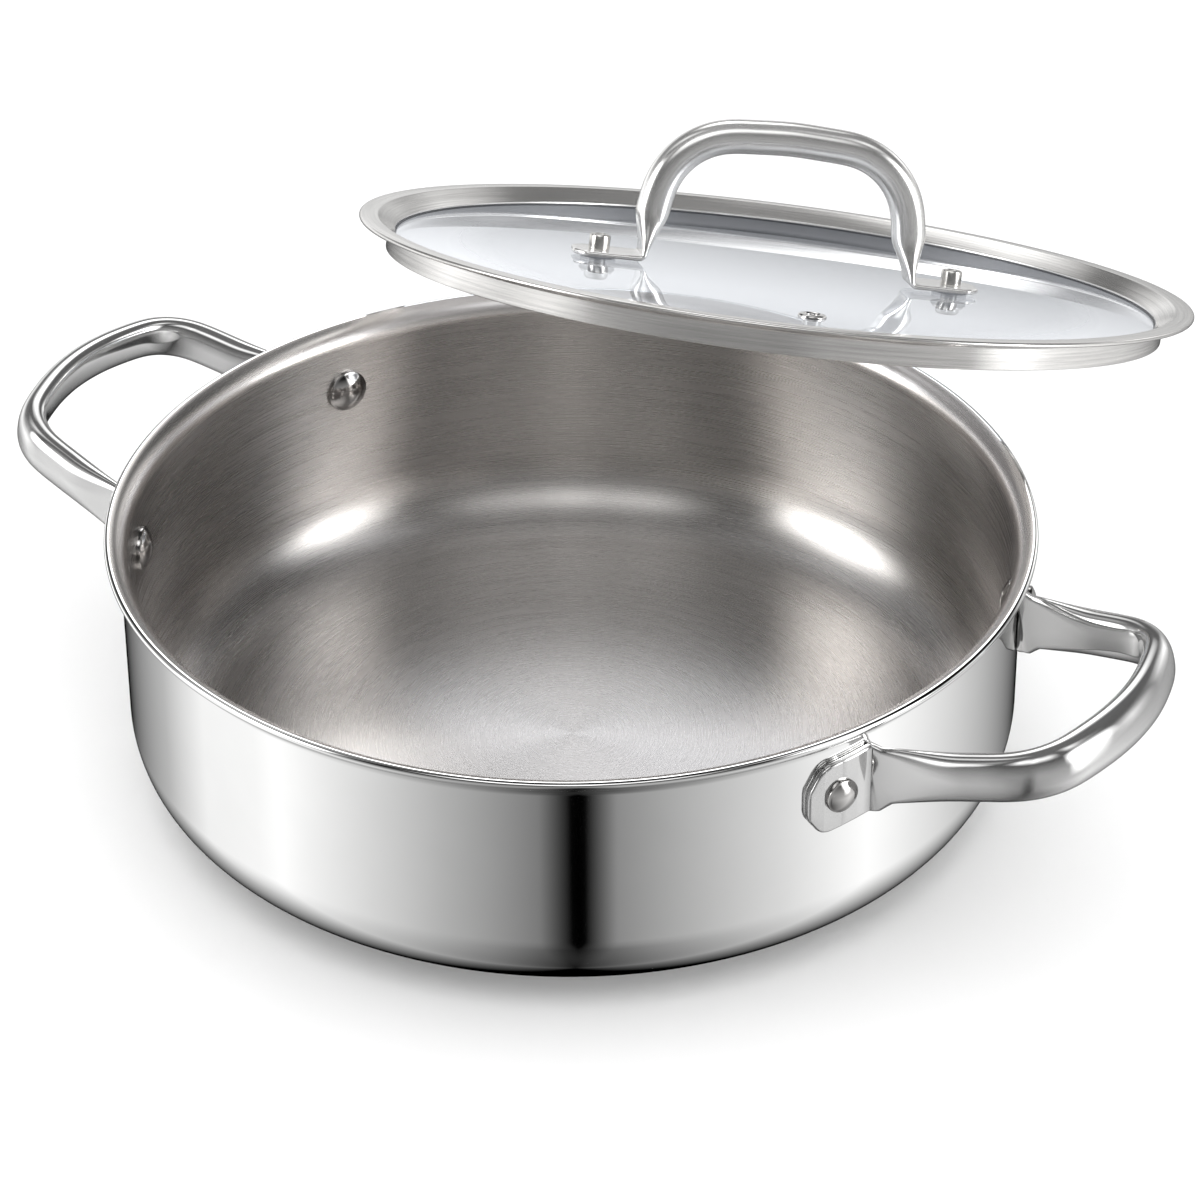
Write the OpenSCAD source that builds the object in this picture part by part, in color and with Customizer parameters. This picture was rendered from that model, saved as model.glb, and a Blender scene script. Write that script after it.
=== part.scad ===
// Saute pan with two loop handles and a glass lid, in millimetres.
// The origin is on the pan's axis, in the plane that it stands on, and the handles lie along X.

/* [Pan] */
// Inside radius of the straight wall
inner_r = 140; // [125:1:160]
// Thickness of the clad sheet
wall_t = 2.6; // [2.2:0.1:3.4]
// Height from the base to the top of the lip
pan_h = 87; // [75:1:105]
// Inside radius of the bend between floor and wall
corner_r = 23.7; // [16:0.1:30]
// Inside radius of the flared lip
lip_flare_r = 7.5; // [6:0.1:9]
// How far the lip turns outwards, in degrees
lip_sweep = 75; // [60:1:80]
// Thickness of the inner steel ply
inner_ply_t = 0.5; // [0.3:0.1:0.7]
// Thickness of the outer steel ply
outer_ply_t = 0.5; // [0.3:0.1:0.7]

/* [Pan handles] */
// Reach of the bar's middle line from the wall, level
handle_reach = 56.6; // [48:0.1:66]
// Rise of the loop from level, in degrees
handle_rise = 14.1; // [5:0.1:20]
// Half the loop's width at its two outer corners
handle_shoulder = 40.8; // [37:0.1:45]
// How much further out the bar's middle stands than its corners
bar_bow = 11; // [6:0.5:13]
// Bend radius of the two outer corners
shoulder_r = 20; // [14:0.5:22]
// Bend radius of the bar's middle
bar_bend_r = 80; // [50:1:85]
// Height of the oval tube
tube_h = 15.2; // [14:0.1:17]
// Width of the oval tube
tube_w = 9.6; // [8.6:0.1:12]
// Wall of the tube
tube_wall = 1.2; // [0.9:0.1:1.5]
// Height of the flattened lug
lug_h = 24.4; // [21:0.1:25]
// Height of the lug's tip between its two chamfers
lug_tip_h = 9; // [6:0.5:12]
// Rise of the lug's middle from its tip to the bend
lug_rise = 2.2; // [0:0.1:3]
// Length of those chamfers along the lug
lug_chamfer = 5; // [3:0.5:7]
// Length of the pinch between lug and full tube
pinch_len = 30; // [24:1:36]

/* [Rivets] */
// Distance between a handle's two rivets
rivet_spacing = 119.4; // [112:0.2:126]
// Height of the rivets above the base
rivet_z = 64.2; // [58:0.2:66]
// Diameter of the shank
rivet_d = 5; // [4:0.1:6]
// Diameter of the domed head inside the pan
head_d = 14.6; // [12:0.2:16]
// Height of the domed head
head_h = 4; // [3:0.1:5]
// Diameter of the button outside
button_d = 11; // [9:0.2:12.4]
// Height of the button
button_h = 2.8; // [2:0.1:3.6]
// Lug from the rivet to the bend
lug_root_len = 11.8; // [10.5:0.1:14]
// Lug from the rivet to the tip
lug_end_len = 11.2; // [9.5:0.1:13]

/* [Lid] */
// Reach of the lid's flange beyond the pan's inside wall
flange_over = 7; // [4.5:0.1:7.2]
// Reach of the crease between the flange's flat and its inner slope, from the same wall
crease_over = 0.5; // [0.1:0.1:1.5]
// Depth of the inner slope, down to the lip over the glass
slope_h = 4.6; // [3.6:0.1:5.4]
// Width of steel over the edge of the glass
lip_over = 2.6; // [2:0.1:3.2]
// Depth of the skirt below the flange
skirt_h = 11.2; // [10.6:0.1:14]
// Clearance between the skirt and the pan's wall
skirt_gap = 3.4; // [2.4:0.1:4]
// Thickness of the rim's strip
strip_t = 0.8; // [0.6:0.1:0.9]
// Thickness of the glass
glass_t = 3.5; // [3.2:0.1:3.8]
// Thickness of the gasket around the glass
gasket_t = 0.5; // [0.4:0.1:0.6]

/* [Lid handle] */
// Distance between the two screws
bolt_spacing = 125.6; // [120:0.2:132]
// Height of the handle's top above the glass
grip_h = 54; // [48:1:60]
// Diameter of the handle's tube
grip_d = 12; // [11:0.5:13]
// Wall of that tube
grip_wall = 1; // [0.8:0.1:1.2]
// Lean of each arm, from its foot to its shoulder
arm_lean = 6; // [3:0.5:8]
// Bend radius of the two shoulders
grip_shoulder_r = 27; // [22:0.5:28]
// Rise of the grip's middle above its shoulders
grip_crown = 2.4; // [1.5:0.1:3]
// Thickness of the flattened foot
foot_t = 1.8; // [1.6:0.1:2.2]
// Foot from the screw to the bend
foot_root_len = 15; // [13:0.5:17]
// Foot from the screw to the tip
foot_end_len = 9.2; // [8:0.2:11]

/* [Fasteners and vent] */
// Diameter of the barrel nut
nut_d = 7.4; // [6.8:0.1:8]
// Height of the barrel nut above the foot
nut_h = 5.2; // [4.4:0.1:6]
// Diameter of the nut's neck through the glass
neck_d = 5.6; // [5.2:0.1:6]
// Diameter of the screw's thread
screw_d = 4; // [3.6:0.1:4.4]
// Diameter of the screw's pan head
screw_head_d = 8.4; // [7.6:0.1:9]
// Height of the screw's pan head
screw_head_h = 2.4; // [2:0.1:2.8]
// Diameter of the soft washers
pad_d = 12.4; // [11:0.2:14]
// Thickness of the soft washers
pad_t = 1; // [0.8:0.1:1.4]
// Thickness of the steel washer under the glass
washer_t = 0.8; // [0.6:0.1:1]
// Distance of the steam vent from the lid's middle
vent_offset = 87; // [78:1:96]
// Diameter of the vent's flange
vent_d = 9.7; // [8.6:0.1:11]
// Diameter of the vent's bore
vent_bore_d = 4.6; // [4:0.1:5.2]

/* [Lid pose] */
// How far the held lid stands to the side of the pan's axis
lid_x = -33.5; // [-60:0.5:0]
// How far it stands behind the pan's inside wall
lid_behind = 50; // [48:0.5:90]
// How far its flange's middle hangs below the top of the pan
lid_drop = 6.7; // [-30:0.1:8]
// Tilt of the lid from level, in degrees
lid_tilt = 21.3; // [16:0.1:24]
// Direction in which the lid falls away, in degrees from X
lid_fall_dir = 102; // [92:1:112]
// Turn of the lid's own handle about its axis, in degrees from X
lid_turn = 36.5; // [20:0.5:50]

/* [Hidden] */
// Number of steps in a quarter turn of a drawn arc, and of sides around a swept tube
arc_steps = 8;
tube_sides = 12;
tube_step = 9;
lug_steps = 4;
$fn = 96;
// Clearance of a shank in its hole, and how deep a flat base is drawn into a curved face
hole_gap = 0.1;
bite = 0.35;
past = 1;

outer_r = inner_r + wall_t;
flare_z = pan_h - wall_t / 2 - (lip_flare_r - wall_t / 2) * sin(lip_sweep);
flare_x = inner_r + lip_flare_r;
lip_edge_angle = 180 - lip_sweep;

plate_t = 2 * tube_wall;
rivet_angle = asin(rivet_spacing / 2 / outer_r);
lug_root_angle = rivet_angle - lug_root_len / outer_r * 180 / PI;
lug_tip_angle = rivet_angle + lug_end_len / outer_r * 180 / PI;
lug_len = lug_root_len + lug_end_len;
neck_len = 2.5 * plate_t;
lug_ease = 1 / cos((lug_tip_angle - lug_root_angle) / lug_steps / 2);
seat_r = (outer_r + plate_t) * lug_ease;

flange_r = inner_r + flange_over;
crease_r = inner_r + crease_over;
lip_t = strip_t;
skirt_r = inner_r - skirt_gap;
pocket_r = skirt_r - strip_t;
glass_r = pocket_r - gasket_t;
lip_in_r = skirt_r - lip_over;
gasket_in_r = lip_in_r - 0.5;
glass_top = -slope_h - lip_t - gasket_t;
glass_bottom = glass_top - glass_t;
ledge_z = glass_bottom - gasket_t;
hem_t = 2 * strip_t;

foot_z = glass_top + pad_t + foot_t / 2;
foot_top = foot_z + foot_t / 2;
grip_r = grip_d / 2;
foot_w = 2 * (foot_t / 2 + PI / 2 * (grip_r - foot_t / 2));
grip_z = glass_top + grip_h - grip_r;
screw_hole_d = neck_d + 2 * hole_gap;
screw_under = glass_bottom - pad_t - washer_t;

// One side of the pan is at +1, the other at -1, and so are the two ends of a handle
FRONT = -1;
REAR = 1;
LEFT = -1;
RIGHT = 1;

function unit(v) = v / norm(v);
function mix(a, b, t) = a + (b - a) * t;
function ease(t) = let (c = min(1, max(0, t))) c * c * (3 - 2 * c);
function flip(list) = [for (i = [len(list) - 1:-1:0]) list[i]];

// Points on an arc about c, from angle a0 to a1, both ends included
function arc(c, r, a0, a1, steps = arc_steps) =
    [for (i = [0:steps]) let (a = mix(a0, a1, i / steps)) c + r * [cos(a), sin(a)]];

// The arc that rounds the corner b of the line a, b, c with radius r
function rounded_corner(a, b, c, r, steps) = let (
    u = unit(a - b), v = unit(c - b), half = acos(u * v) / 2,
    centre = b + unit(u + v) * r / sin(half),
    p = b + u * r / tan(half) - centre, q = b + v * r / tan(half) - centre, turn = 180 - 2 * half)
    [for (i = [0:steps]) let (t = i / steps)
        centre + (sin((1 - t) * turn) * p + sin(t * turn) * q) / sin(turn)];

// A line through corners, each rounded by its own radius, or kept sharp at radius 0
function rounded_line(corners, radii, steps) = [for (i = [0:len(corners) - 1])
    each (radii[i] == 0 ? [corners[i]]
        : rounded_corner(corners[i - 1], corners[i], corners[i + 1], radii[i], steps))];

// The same line with extra points, so that no step is longer than the one given
function stepped(line, step) = [
    for (i = [0:len(line) - 2]) let (n = ceil(norm(line[i + 1] - line[i]) / step))
        for (k = [0:n - 1]) mix(line[i], line[i + 1], k / n),
    line[len(line) - 1]];

// Running length along a line, one value for each point
function running(line) = [for (i = 0, s = 0; i < len(line);
    s = s + (i + 1 < len(line) ? norm(line[i + 1] - line[i]) : 0), i = i + 1) s];

// Direction of the line at point i
function heading(line, i) =
    unit(line[min(i + 1, len(line) - 1)] - line[max(i - 1, 0)]);

// Outline of a pressed tube: h high along the first axis, w wide along the second
function tube_outline(h, w, sides) = let (r = w / 2 / cos(180 / sides))
    [for (j = [0:sides - 1]) let (a = 360 * (j + 0.5) / sides)
        [(h - w) / 2 * sign(cos(a)) + r * cos(a), r * sin(a)]];

// A closed skin over rings of points, each ring with the same number of points
module skin(rings) {
    n = len(rings[0]);
    last = len(rings) - 1;
    polyhedron(
        points = [for (ring = rings) each ring],
        faces = [[for (j = [0:n - 1]) j], [for (j = [n - 1:-1:0]) last * n + j],
            for (i = [0:last - 1]) for (j = [0:n - 1]) let (k = (j + 1) % n)
                each [[i * n + j, (i + 1) * n + j, (i + 1) * n + k],
                    [i * n + j, (i + 1) * n + k, i * n + k]]]);
}

// The sheet's section from the axis to the lip, at a distance out from the inside face
function sheet_line(off) = concat([[0, wall_t - off]],
    arc([inner_r - corner_r, wall_t + corner_r], corner_r + off, -90, 0, 2 * arc_steps),
    arc([flare_x, flare_z], lip_flare_r - off, 180, lip_edge_angle));

// The rounded edge of the lip, which the outer ply closes over the others
function lip_nose() = let (
    away = [cos(lip_edge_angle), sin(lip_edge_angle)], along = [away[1], -away[0]],
    middle = [flare_x, flare_z] + (lip_flare_r - wall_t / 2) * away)
    [for (i = [1:arc_steps - 1]) let (a = 180 * i / arc_steps)
        middle + wall_t / 2 * (sin(a) * along - cos(a) * away)];

module rivet_holes(d, from, to) {
    for (side = [LEFT, RIGHT], end = [FRONT, REAR])
        rotate([0, 0, side * end * rivet_angle + (side == LEFT ? 180 : 0)])
            translate([from, 0, rivet_z]) rotate([0, 90, 0]) cylinder(d = d, h = to - from);
}

module ply(from, to, edge = []) {
    difference() {
        rotate_extrude() polygon(concat(sheet_line(to), edge, flip(sheet_line(from))));
        rivet_holes(rivet_d + 2 * hole_gap, inner_r - past, outer_r + past);
    }
}

module inner_ply() {
    color("#b9b8b4") ply(0, inner_ply_t);
}

module aluminium_core() {
    color("#c9ccd0") ply(inner_ply_t, wall_t - outer_ply_t);
}

module outer_ply() {
    nose = concat(lip_nose(), [last_point(sheet_line(0))]);
    color("#d8d9db") ply(wall_t - outer_ply_t, wall_t, nose);
}

function last_point(line) = line[len(line) - 1];

// The loop's middle line seen from above: X is away from the axis, Y is along the wall
function loop_line() = let (
    lug_r = (outer_r + plate_t / 2) * lug_ease,
    lug = [for (i = [0:lug_steps]) let (a = mix(lug_tip_angle, lug_root_angle, i / lug_steps))
        lug_r * [cos(a), sin(a)]],
    shoulder = [outer_r + handle_reach - bar_bow, handle_shoulder],
    half = concat(lug, [shoulder]),
    corners = concat(half, [[outer_r + handle_reach, 0]], flip([for (p = half) [p[0], -p[1]]])),
    sharp = [for (i = [1:lug_steps]) 0],
    radii = concat(sharp, [plate_t, shoulder_r, bar_bend_r, shoulder_r, plate_t], sharp))
    stepped(rounded_line(corners, radii, arc_steps), tube_step);

// Rings of a loop handle, drawn in by skin from its outside: 0 for the outside itself
function loop_rings(inset, sides) = let (
    line = loop_line(), run = running(line), total = last_point(run),
    root_x = outer_r * cos(lug_root_angle))
    [for (i = [0:len(line) - 1]) let (
        d = min(run[i], total - run[i]),
        open = ease((d - lug_len) / pinch_len),
        w = mix(plate_t, tube_w, open) - 2 * inset,
        tip = mix(lug_tip_h, lug_h, min(1, d / lug_chamfer)),
        neck_h = tube_h + (PI / 2 - 1) * (tube_w - mix(plate_t, tube_w, open)),
        h = min(mix(lug_h, neck_h, ease((d - lug_len) / neck_len)), tip) - 2 * inset,
        lift = d < lug_len ? 0 : handle_rise,
        out = max(0, line[i][0] - root_x) * (d < lug_len ? 0 : 1),
        z = rivet_z + lug_rise * (min(d, lug_len) - lug_end_len) / lug_len,
        up = [-sin(lift) * ease(out / plate_t), 0, 1],
        go = heading(line, i), side = unit([go[1], -go[0], 0]))
        if (w > inset)
            [for (p = tube_outline(h, w, sides))
                [line[i][0], line[i][1], z + out * tan(handle_rise)]
                + p[0] * unit(up) + p[1] * side]];

module loop_handle(side) {
    rotate([0, 0, side == LEFT ? 180 : 0]) difference() {
        skin(loop_rings(0, tube_sides));
        skin(loop_rings(tube_wall, tube_sides - 4));
        rivet_holes(rivet_d + 2 * hole_gap, outer_r - past, outer_r + 2 * plate_t);
    }
}

module left_handle() {
    color("#c4c6c9") loop_handle(LEFT);
}

module right_handle() {
    color("#c4c6c9") loop_handle(RIGHT);
}

// A dome of diameter d and height h on a short edge, for a lathe
function dome(d, h, edge) = let (rise = h - edge, r = (d * d / 4 + rise * rise) / (2 * rise))
    concat([[0, 0], [d / 2, 0]], arc([0, h - r], r, asin(1 - rise / r), 90));

// A rivet through the wall and the lug: its domed head is inside, and its button outside
module rivet(side, end) {
    color("#c2c2c0")
    rotate([0, 0, side * end * rivet_angle + (side == LEFT ? 180 : 0)])
    translate([0, 0, rivet_z]) {
        translate([inner_r - past, 0, 0]) rotate([0, 90, 0])
            cylinder(d = rivet_d, h = seat_r - inner_r + 2 * past);
        difference() {
            translate([seat_r - bite, 0, 0]) rotate([0, 90, 0])
                rotate_extrude() polygon(dome(button_d, button_h + bite, 0.8 + bite));
            translate([0, 0, -head_d]) cylinder(r = seat_r, h = 2 * head_d);
        }
        intersection() {
            translate([inner_r + bite, 0, 0]) rotate([0, -90, 0])
                rotate_extrude() polygon(dome(head_d, head_h + bite, 1.1 + bite));
            translate([0, 0, -head_d]) cylinder(r = inner_r, h = 2 * head_d);
        }
    }
}

module left_front_rivet() rivet(LEFT, FRONT);
module left_rear_rivet() rivet(LEFT, REAR);
module right_front_rivet() rivet(RIGHT, FRONT);
module right_rear_rivet() rivet(RIGHT, REAR);

// The lid is drawn about its own axis, with the flange's top face at zero, and then put in its pose
module in_lid_pose() {
    translate([lid_x, inner_r + lid_behind, pan_h - lid_drop])
        rotate(a = lid_tilt, v = [-sin(lid_fall_dir), cos(lid_fall_dir), 0])
        rotate([0, 0, lid_turn]) children();
}

module at_bolt(side) {
    translate([side * bolt_spacing / 2, 0, 0]) children();
}

module lid_glass() {
    seam = 0.5;
    color("#cfd6db", 0.5) in_lid_pose() difference() {
        rotate_extrude() polygon([[0, glass_top], [glass_r - seam, glass_top],
            [glass_r, glass_top - seam], [glass_r, glass_bottom + seam],
            [glass_r - seam, glass_bottom], [0, glass_bottom]]);
        for (side = [LEFT, RIGHT]) at_bolt(side) translate([0, 0, glass_bottom - past])
            cylinder(d = screw_hole_d, h = glass_t + 2 * past);
        translate([0, -vent_offset, glass_bottom - past])
            cylinder(d = vent_bore_d + 2 * strip_t + 2 * hole_gap, h = glass_t + 2 * past);
    }
}

// The rim is one strip: a hemmed flange, a slope down to the glass, and the skirt with its ledge
module lid_rim() {
    slope = [crease_r, 0] - [lip_in_r, -slope_h];
    under = unit([slope[1], -slope[0]]) * strip_t;
    crease_in = (hem_t + under[1]) / slope[1] * slope[0] + under[0];
    skirt_top = -slope_h + (skirt_r - lip_in_r - under[0]) / slope[0] * slope[1] + under[1];
    color("#d2d3d4") in_lid_pose() rotate_extrude() polygon(concat(
        [[lip_in_r, -slope_h], [crease_r, 0]],
        arc([flange_r - strip_t, -strip_t], strip_t, 90, -90),
        [[crease_r + crease_in - strip_t / 2, -hem_t], [skirt_r, skirt_top],
            [skirt_r, -skirt_h], [pocket_r + strip_t / 4, -skirt_h],
            [pocket_r - strip_t / 4, ledge_z - strip_t / 2], [gasket_in_r + 0.5, ledge_z - strip_t / 2],
            [gasket_in_r + 0.5, ledge_z], [pocket_r, ledge_z],
            [pocket_r, -slope_h - lip_t], [lip_in_r, -slope_h - lip_t]]));
}

module rim_gasket() {
    top = glass_top + gasket_t;
    color("#3a3d40") in_lid_pose() rotate_extrude() polygon([
        [gasket_in_r, top], [pocket_r, top], [pocket_r, ledge_z], [gasket_in_r, ledge_z],
        [gasket_in_r, glass_bottom], [glass_r, glass_bottom],
        [glass_r, glass_top], [gasket_in_r, glass_top]]);
}

// A rolled eyelet that lines the hole in the glass
module vent_grommet() {
    tube_r = vent_bore_d / 2 + strip_t;
    color("#c9cacb") in_lid_pose() translate([0, -vent_offset, 0]) rotate_extrude() polygon(concat(
        [[vent_bore_d / 2, glass_bottom - strip_t], [vent_d / 2 - strip_t, glass_bottom - strip_t],
            [vent_d / 2 - strip_t, glass_bottom], [tube_r, glass_bottom], [tube_r, glass_top],
            [vent_d / 2, glass_top]],
        arc([vent_d / 2 - strip_t, glass_top + strip_t / 2], strip_t, 0, 90, 4),
        arc([vent_bore_d / 2 + strip_t, glass_top + strip_t / 2], strip_t, 90, 180, 4)));
}

// The lid handle's middle line from the side: X is along the handle, Y is up
function grip_line() = let (
    half = [[-bolt_spacing / 2 - foot_end_len, foot_z],
        [-bolt_spacing / 2 + foot_root_len, foot_z],
        [-bolt_spacing / 2 + foot_root_len + arm_lean, grip_z - grip_crown]],
    corners = concat(half, [[0, grip_z]], flip([for (p = half) [-p[0], p[1]]])),
    radii = [0, foot_t, grip_shoulder_r, bar_bend_r, grip_shoulder_r, foot_t, 0])
    stepped(rounded_line(corners, radii, arc_steps), tube_step);

function grip_rings(inset, sides) = let (
    line = grip_line(), run = running(line), total = last_point(run), tip_w = foot_w * 0.5)
    [for (i = [0:len(line) - 1]) let (
        d = min(run[i], total - run[i]),
        open = ease((d - foot_root_len - foot_end_len) / (pinch_len * 0.55)),
        w = mix(foot_t, grip_d, open) - 2 * inset,
        tip = mix(tip_w, foot_w, sin(90 * min(1, d / lug_chamfer))),
        h = min(mix(foot_w, grip_d, open), tip) - 2 * inset,
        go = heading(line, i), side = unit([go[1], 0, -go[0]]))
        if (w > inset)
            [for (p = tube_outline(h, w, sides))
                [line[i][0], 0, line[i][1]] + p[0] * [0, -1, 0] + p[1] * side]];

module lid_handle() {
    color("#c2c1be") in_lid_pose() difference() {
        skin(grip_rings(0, tube_sides));
        skin(grip_rings(grip_wall, tube_sides - 4));
        for (side = [LEFT, RIGHT]) at_bolt(side) translate([0, 0, foot_z - foot_t])
            cylinder(d = screw_hole_d, h = 2 * foot_t);
    }
}

// A barrel nut stands on the foot, and its neck passes through foot and glass
module barrel_nut(side) {
    chamfer = 0.7;
    floor_t = 1.4;
    color("#b6b5b1") in_lid_pose() at_bolt(side) difference() {
        rotate_extrude() polygon([[0, foot_top + nut_h], [nut_d / 2 - chamfer, foot_top + nut_h],
            [nut_d / 2, foot_top + nut_h - chamfer], [nut_d / 2, foot_top], [neck_d / 2, foot_top],
            [neck_d / 2, glass_bottom], [0, glass_bottom]]);
        translate([0, 0, glass_bottom - past])
            cylinder(d = screw_d, h = foot_top + nut_h - floor_t - glass_bottom + past);
    }
}

module left_barrel_nut() barrel_nut(LEFT);
module right_barrel_nut() barrel_nut(RIGHT);

// A pan head screw from below, with its cross slot left to the looks
module lid_screw(side) {
    end_gap = 0.6;
    thread_top = foot_top + nut_h - 1.4 - end_gap;
    color("#aeaeaa") in_lid_pose() at_bolt(side) rotate_extrude() polygon(concat(
        [[0, thread_top], [screw_d / 2, thread_top], [screw_d / 2, screw_under],
            [screw_head_d / 2, screw_under]],
        arc([screw_head_d / 2 - 1.4, screw_under - screw_head_h + 1.4], 1.4, 0, -90, 4),
        [[0, screw_under - screw_head_h]]));
}

module left_screw() lid_screw(LEFT);
module right_screw() lid_screw(RIGHT);

module flat_ring(side, d, bore_d, z, t) {
    in_lid_pose() at_bolt(side) translate([0, 0, z]) difference() {
        cylinder(d = d, h = t);
        translate([0, 0, -past]) cylinder(d = bore_d, h = t + 2 * past);
    }
}

module upper_pad(side) {
    color("#5c6166") flat_ring(side, pad_d, screw_hole_d, glass_top, pad_t);
}

module left_upper_pad() upper_pad(LEFT);
module right_upper_pad() upper_pad(RIGHT);

module lower_pad(side) {
    color("#5c6166") flat_ring(side, pad_d, screw_d + 2 * hole_gap, glass_bottom - pad_t, pad_t);
}

module left_lower_pad() lower_pad(LEFT);
module right_lower_pad() lower_pad(RIGHT);

module steel_washer(side) {
    color("#b4b4b0") flat_ring(side, pad_d - 1.6, screw_d + 2 * hole_gap, screw_under, washer_t);
}

module left_washer() steel_washer(LEFT);
module right_washer() steel_washer(RIGHT);

inner_ply();
aluminium_core();
outer_ply();
left_handle();
right_handle();
left_front_rivet();
left_rear_rivet();
right_front_rivet();
right_rear_rivet();
lid_glass();
lid_rim();
rim_gasket();
vent_grommet();
lid_handle();
left_barrel_nut();
right_barrel_nut();
left_screw();
right_screw();
left_upper_pad();
right_upper_pad();
left_lower_pad();
right_lower_pad();
left_washer();
right_washer();
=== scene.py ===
import logging
import math
from dataclasses import dataclass, field
from enum import Enum

import bmesh
import bpy
from mathutils import Matrix, Vector

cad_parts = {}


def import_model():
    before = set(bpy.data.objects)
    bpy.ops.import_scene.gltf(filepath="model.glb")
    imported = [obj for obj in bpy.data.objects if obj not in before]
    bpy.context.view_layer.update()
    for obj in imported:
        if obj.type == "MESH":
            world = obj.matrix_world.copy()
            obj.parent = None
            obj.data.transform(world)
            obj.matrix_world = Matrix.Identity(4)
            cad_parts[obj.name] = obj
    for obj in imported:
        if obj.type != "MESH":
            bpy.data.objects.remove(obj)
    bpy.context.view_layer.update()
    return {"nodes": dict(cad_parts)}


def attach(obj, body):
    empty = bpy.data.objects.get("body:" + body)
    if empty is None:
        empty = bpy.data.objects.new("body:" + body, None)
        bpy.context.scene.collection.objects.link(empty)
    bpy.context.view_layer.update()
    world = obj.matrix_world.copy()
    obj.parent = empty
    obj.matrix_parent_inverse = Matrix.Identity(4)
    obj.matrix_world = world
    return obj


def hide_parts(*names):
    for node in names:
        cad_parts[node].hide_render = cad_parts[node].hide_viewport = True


log = logging.getLogger("saute_pan")

MM = 0.001
# Half the angle between two sides of a corner that counts as straight
STRAIGHT = math.radians(89.5)
# The pieces that each bend of a tube's line is cut into
BEND_STEPS = 14
# Points of a mesh that are closer than the first are one, and shorter edges than the second go
TOUCHING, SHORTEST = 1e-4, 1e-5
# The smallest radius that a turned finish divides by, in metres
SMALLEST = 1e-5
# Where the grey values of a noise begin and end, for the most part
NOISE_LOW, NOISE_HIGH = 0.25, 0.75
Point = tuple[float, float]
Colour = tuple[float, float, float]


class Side(Enum):
    """The two sides of the pan, and of the lid's handle, along the handle line."""

    LEFT = -1
    RIGHT = 1


class End(Enum):
    """The two ends of a loop handle, along the wall."""

    FRONT = -1
    REAR = 1


class Layer(Enum):
    """Where a washer sits at one of the lid's screws."""

    UPPER_PAD = "upper_pad"
    LOWER_PAD = "lower_pad"
    WASHER = "washer"


def arc(centre: Point, radius: float, start: float, end: float, steps: int) -> list[Point]:
    """Points on an arc, both ends included.

    Args:
        centre: The arc's centre.
        radius: Its radius.
        start: The first point's angle in degrees.
        end: The last point's angle in degrees.
        steps: How many pieces the arc is cut into.

    Returns:
        The points in order.
    """
    points = []
    for i in range(steps + 1):
        a = math.radians(start + (end - start) * i / steps)
        points.append((centre[0] + radius * math.cos(a), centre[1] + radius * math.sin(a)))
    return points


def round_corner(a: Vector, b: Vector, c: Vector, radius: float, steps: int) -> list[Vector]:
    """Points on the arc that rounds the corner b of the line a, b, c.

    Args:
        a: The point before the corner.
        b: The corner.
        c: The point after it.
        radius: The arc's radius.
        steps: How many pieces the arc is cut into.

    Returns:
        The arc's points, both ends included.
    """
    u, v = (a - b).normalized(), (c - b).normalized()
    half = math.acos(max(-1.0, min(1.0, u.dot(v)))) / 2
    if half > STRAIGHT:
        return [b]
    centre = b + (u + v).normalized() * radius / math.sin(half)
    p = b + u * radius / math.tan(half) - centre
    q = b + v * radius / math.tan(half) - centre
    turn = math.pi - 2 * half
    arc_points = []
    for i in range(steps + 1):
        t = i / steps
        arc_points.append(
            centre + (math.sin((1 - t) * turn) * p + math.sin(t * turn) * q) / math.sin(turn)
        )
    return arc_points


def softened(corners: list[tuple[float, float, float]], steps: int = 4) -> list[Point]:
    """A closed outline whose corners are rounded.

    Args:
        corners: Each corner's two coordinates and its radius, 0 for a corner that stays.
        steps: How many pieces each rounded corner has.

    Returns:
        The outline's points.
    """
    outline: list[Point] = []
    count = len(corners)
    for i, (x, y, radius) in enumerate(corners):
        if radius == 0:
            outline.append((x, y))
            continue
        before, after = corners[i - 1], corners[(i + 1) % count]
        for p in round_corner(
            Vector((*before[:2], 0)), Vector((x, y, 0)), Vector((*after[:2], 0)), radius, steps
        ):
            outline.append((p.x, p.y))
    return outline


def mix(a: float, b: float, t: float) -> float:
    """The value between a and b at t, from 0 to 1."""
    return a + (b - a) * t


def along_profile(profile: list[Point], at: float) -> float:
    """The height of a profile at a distance along it, held at both ends.

    Args:
        profile: Pairs of a distance and a height, in order.
        at: The distance to read at.

    Returns:
        The height.
    """
    for (a, low), (b, high) in zip(profile, profile[1:]):
        if a <= at < b:
            return mix(low, high, (at - a) / (b - a))
    return profile[0][1] if at < profile[0][0] else profile[-1][1]


def ease(t: float) -> float:
    """A smooth step from 0 to 1, held at both ends."""
    t = min(1.0, max(0.0, t))
    return t * t * (3 - 2 * t)


def finish_mesh(bm: bmesh.types.BMesh, name: str, pose: Matrix, crease: float) -> bpy.types.Object:
    """Turns a bmesh into a shaded object at the origin.

    Args:
        bm: The mesh, in millimetres. It is freed.
        name: The object's name.
        pose: Where the mesh goes, in millimetres.
        crease: Edges that fold by more than this many degrees stay sharp.

    Returns:
        The new object, linked to the scene.
    """
    bmesh.ops.transform(bm, matrix=Matrix.Scale(MM, 4) @ pose, verts=bm.verts)
    bmesh.ops.recalc_face_normals(bm, faces=bm.faces)
    limit = math.radians(crease)
    for face in bm.faces:
        face.smooth = True
    for edge in bm.edges:
        edge.smooth = not (edge.is_manifold and edge.calc_face_angle(0.0) > limit)
    mesh = bpy.data.meshes.new(name)
    bm.to_mesh(mesh)
    bm.free()
    made = bpy.data.objects.new(name, mesh)
    bpy.context.scene.collection.objects.link(made)
    return made


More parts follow.
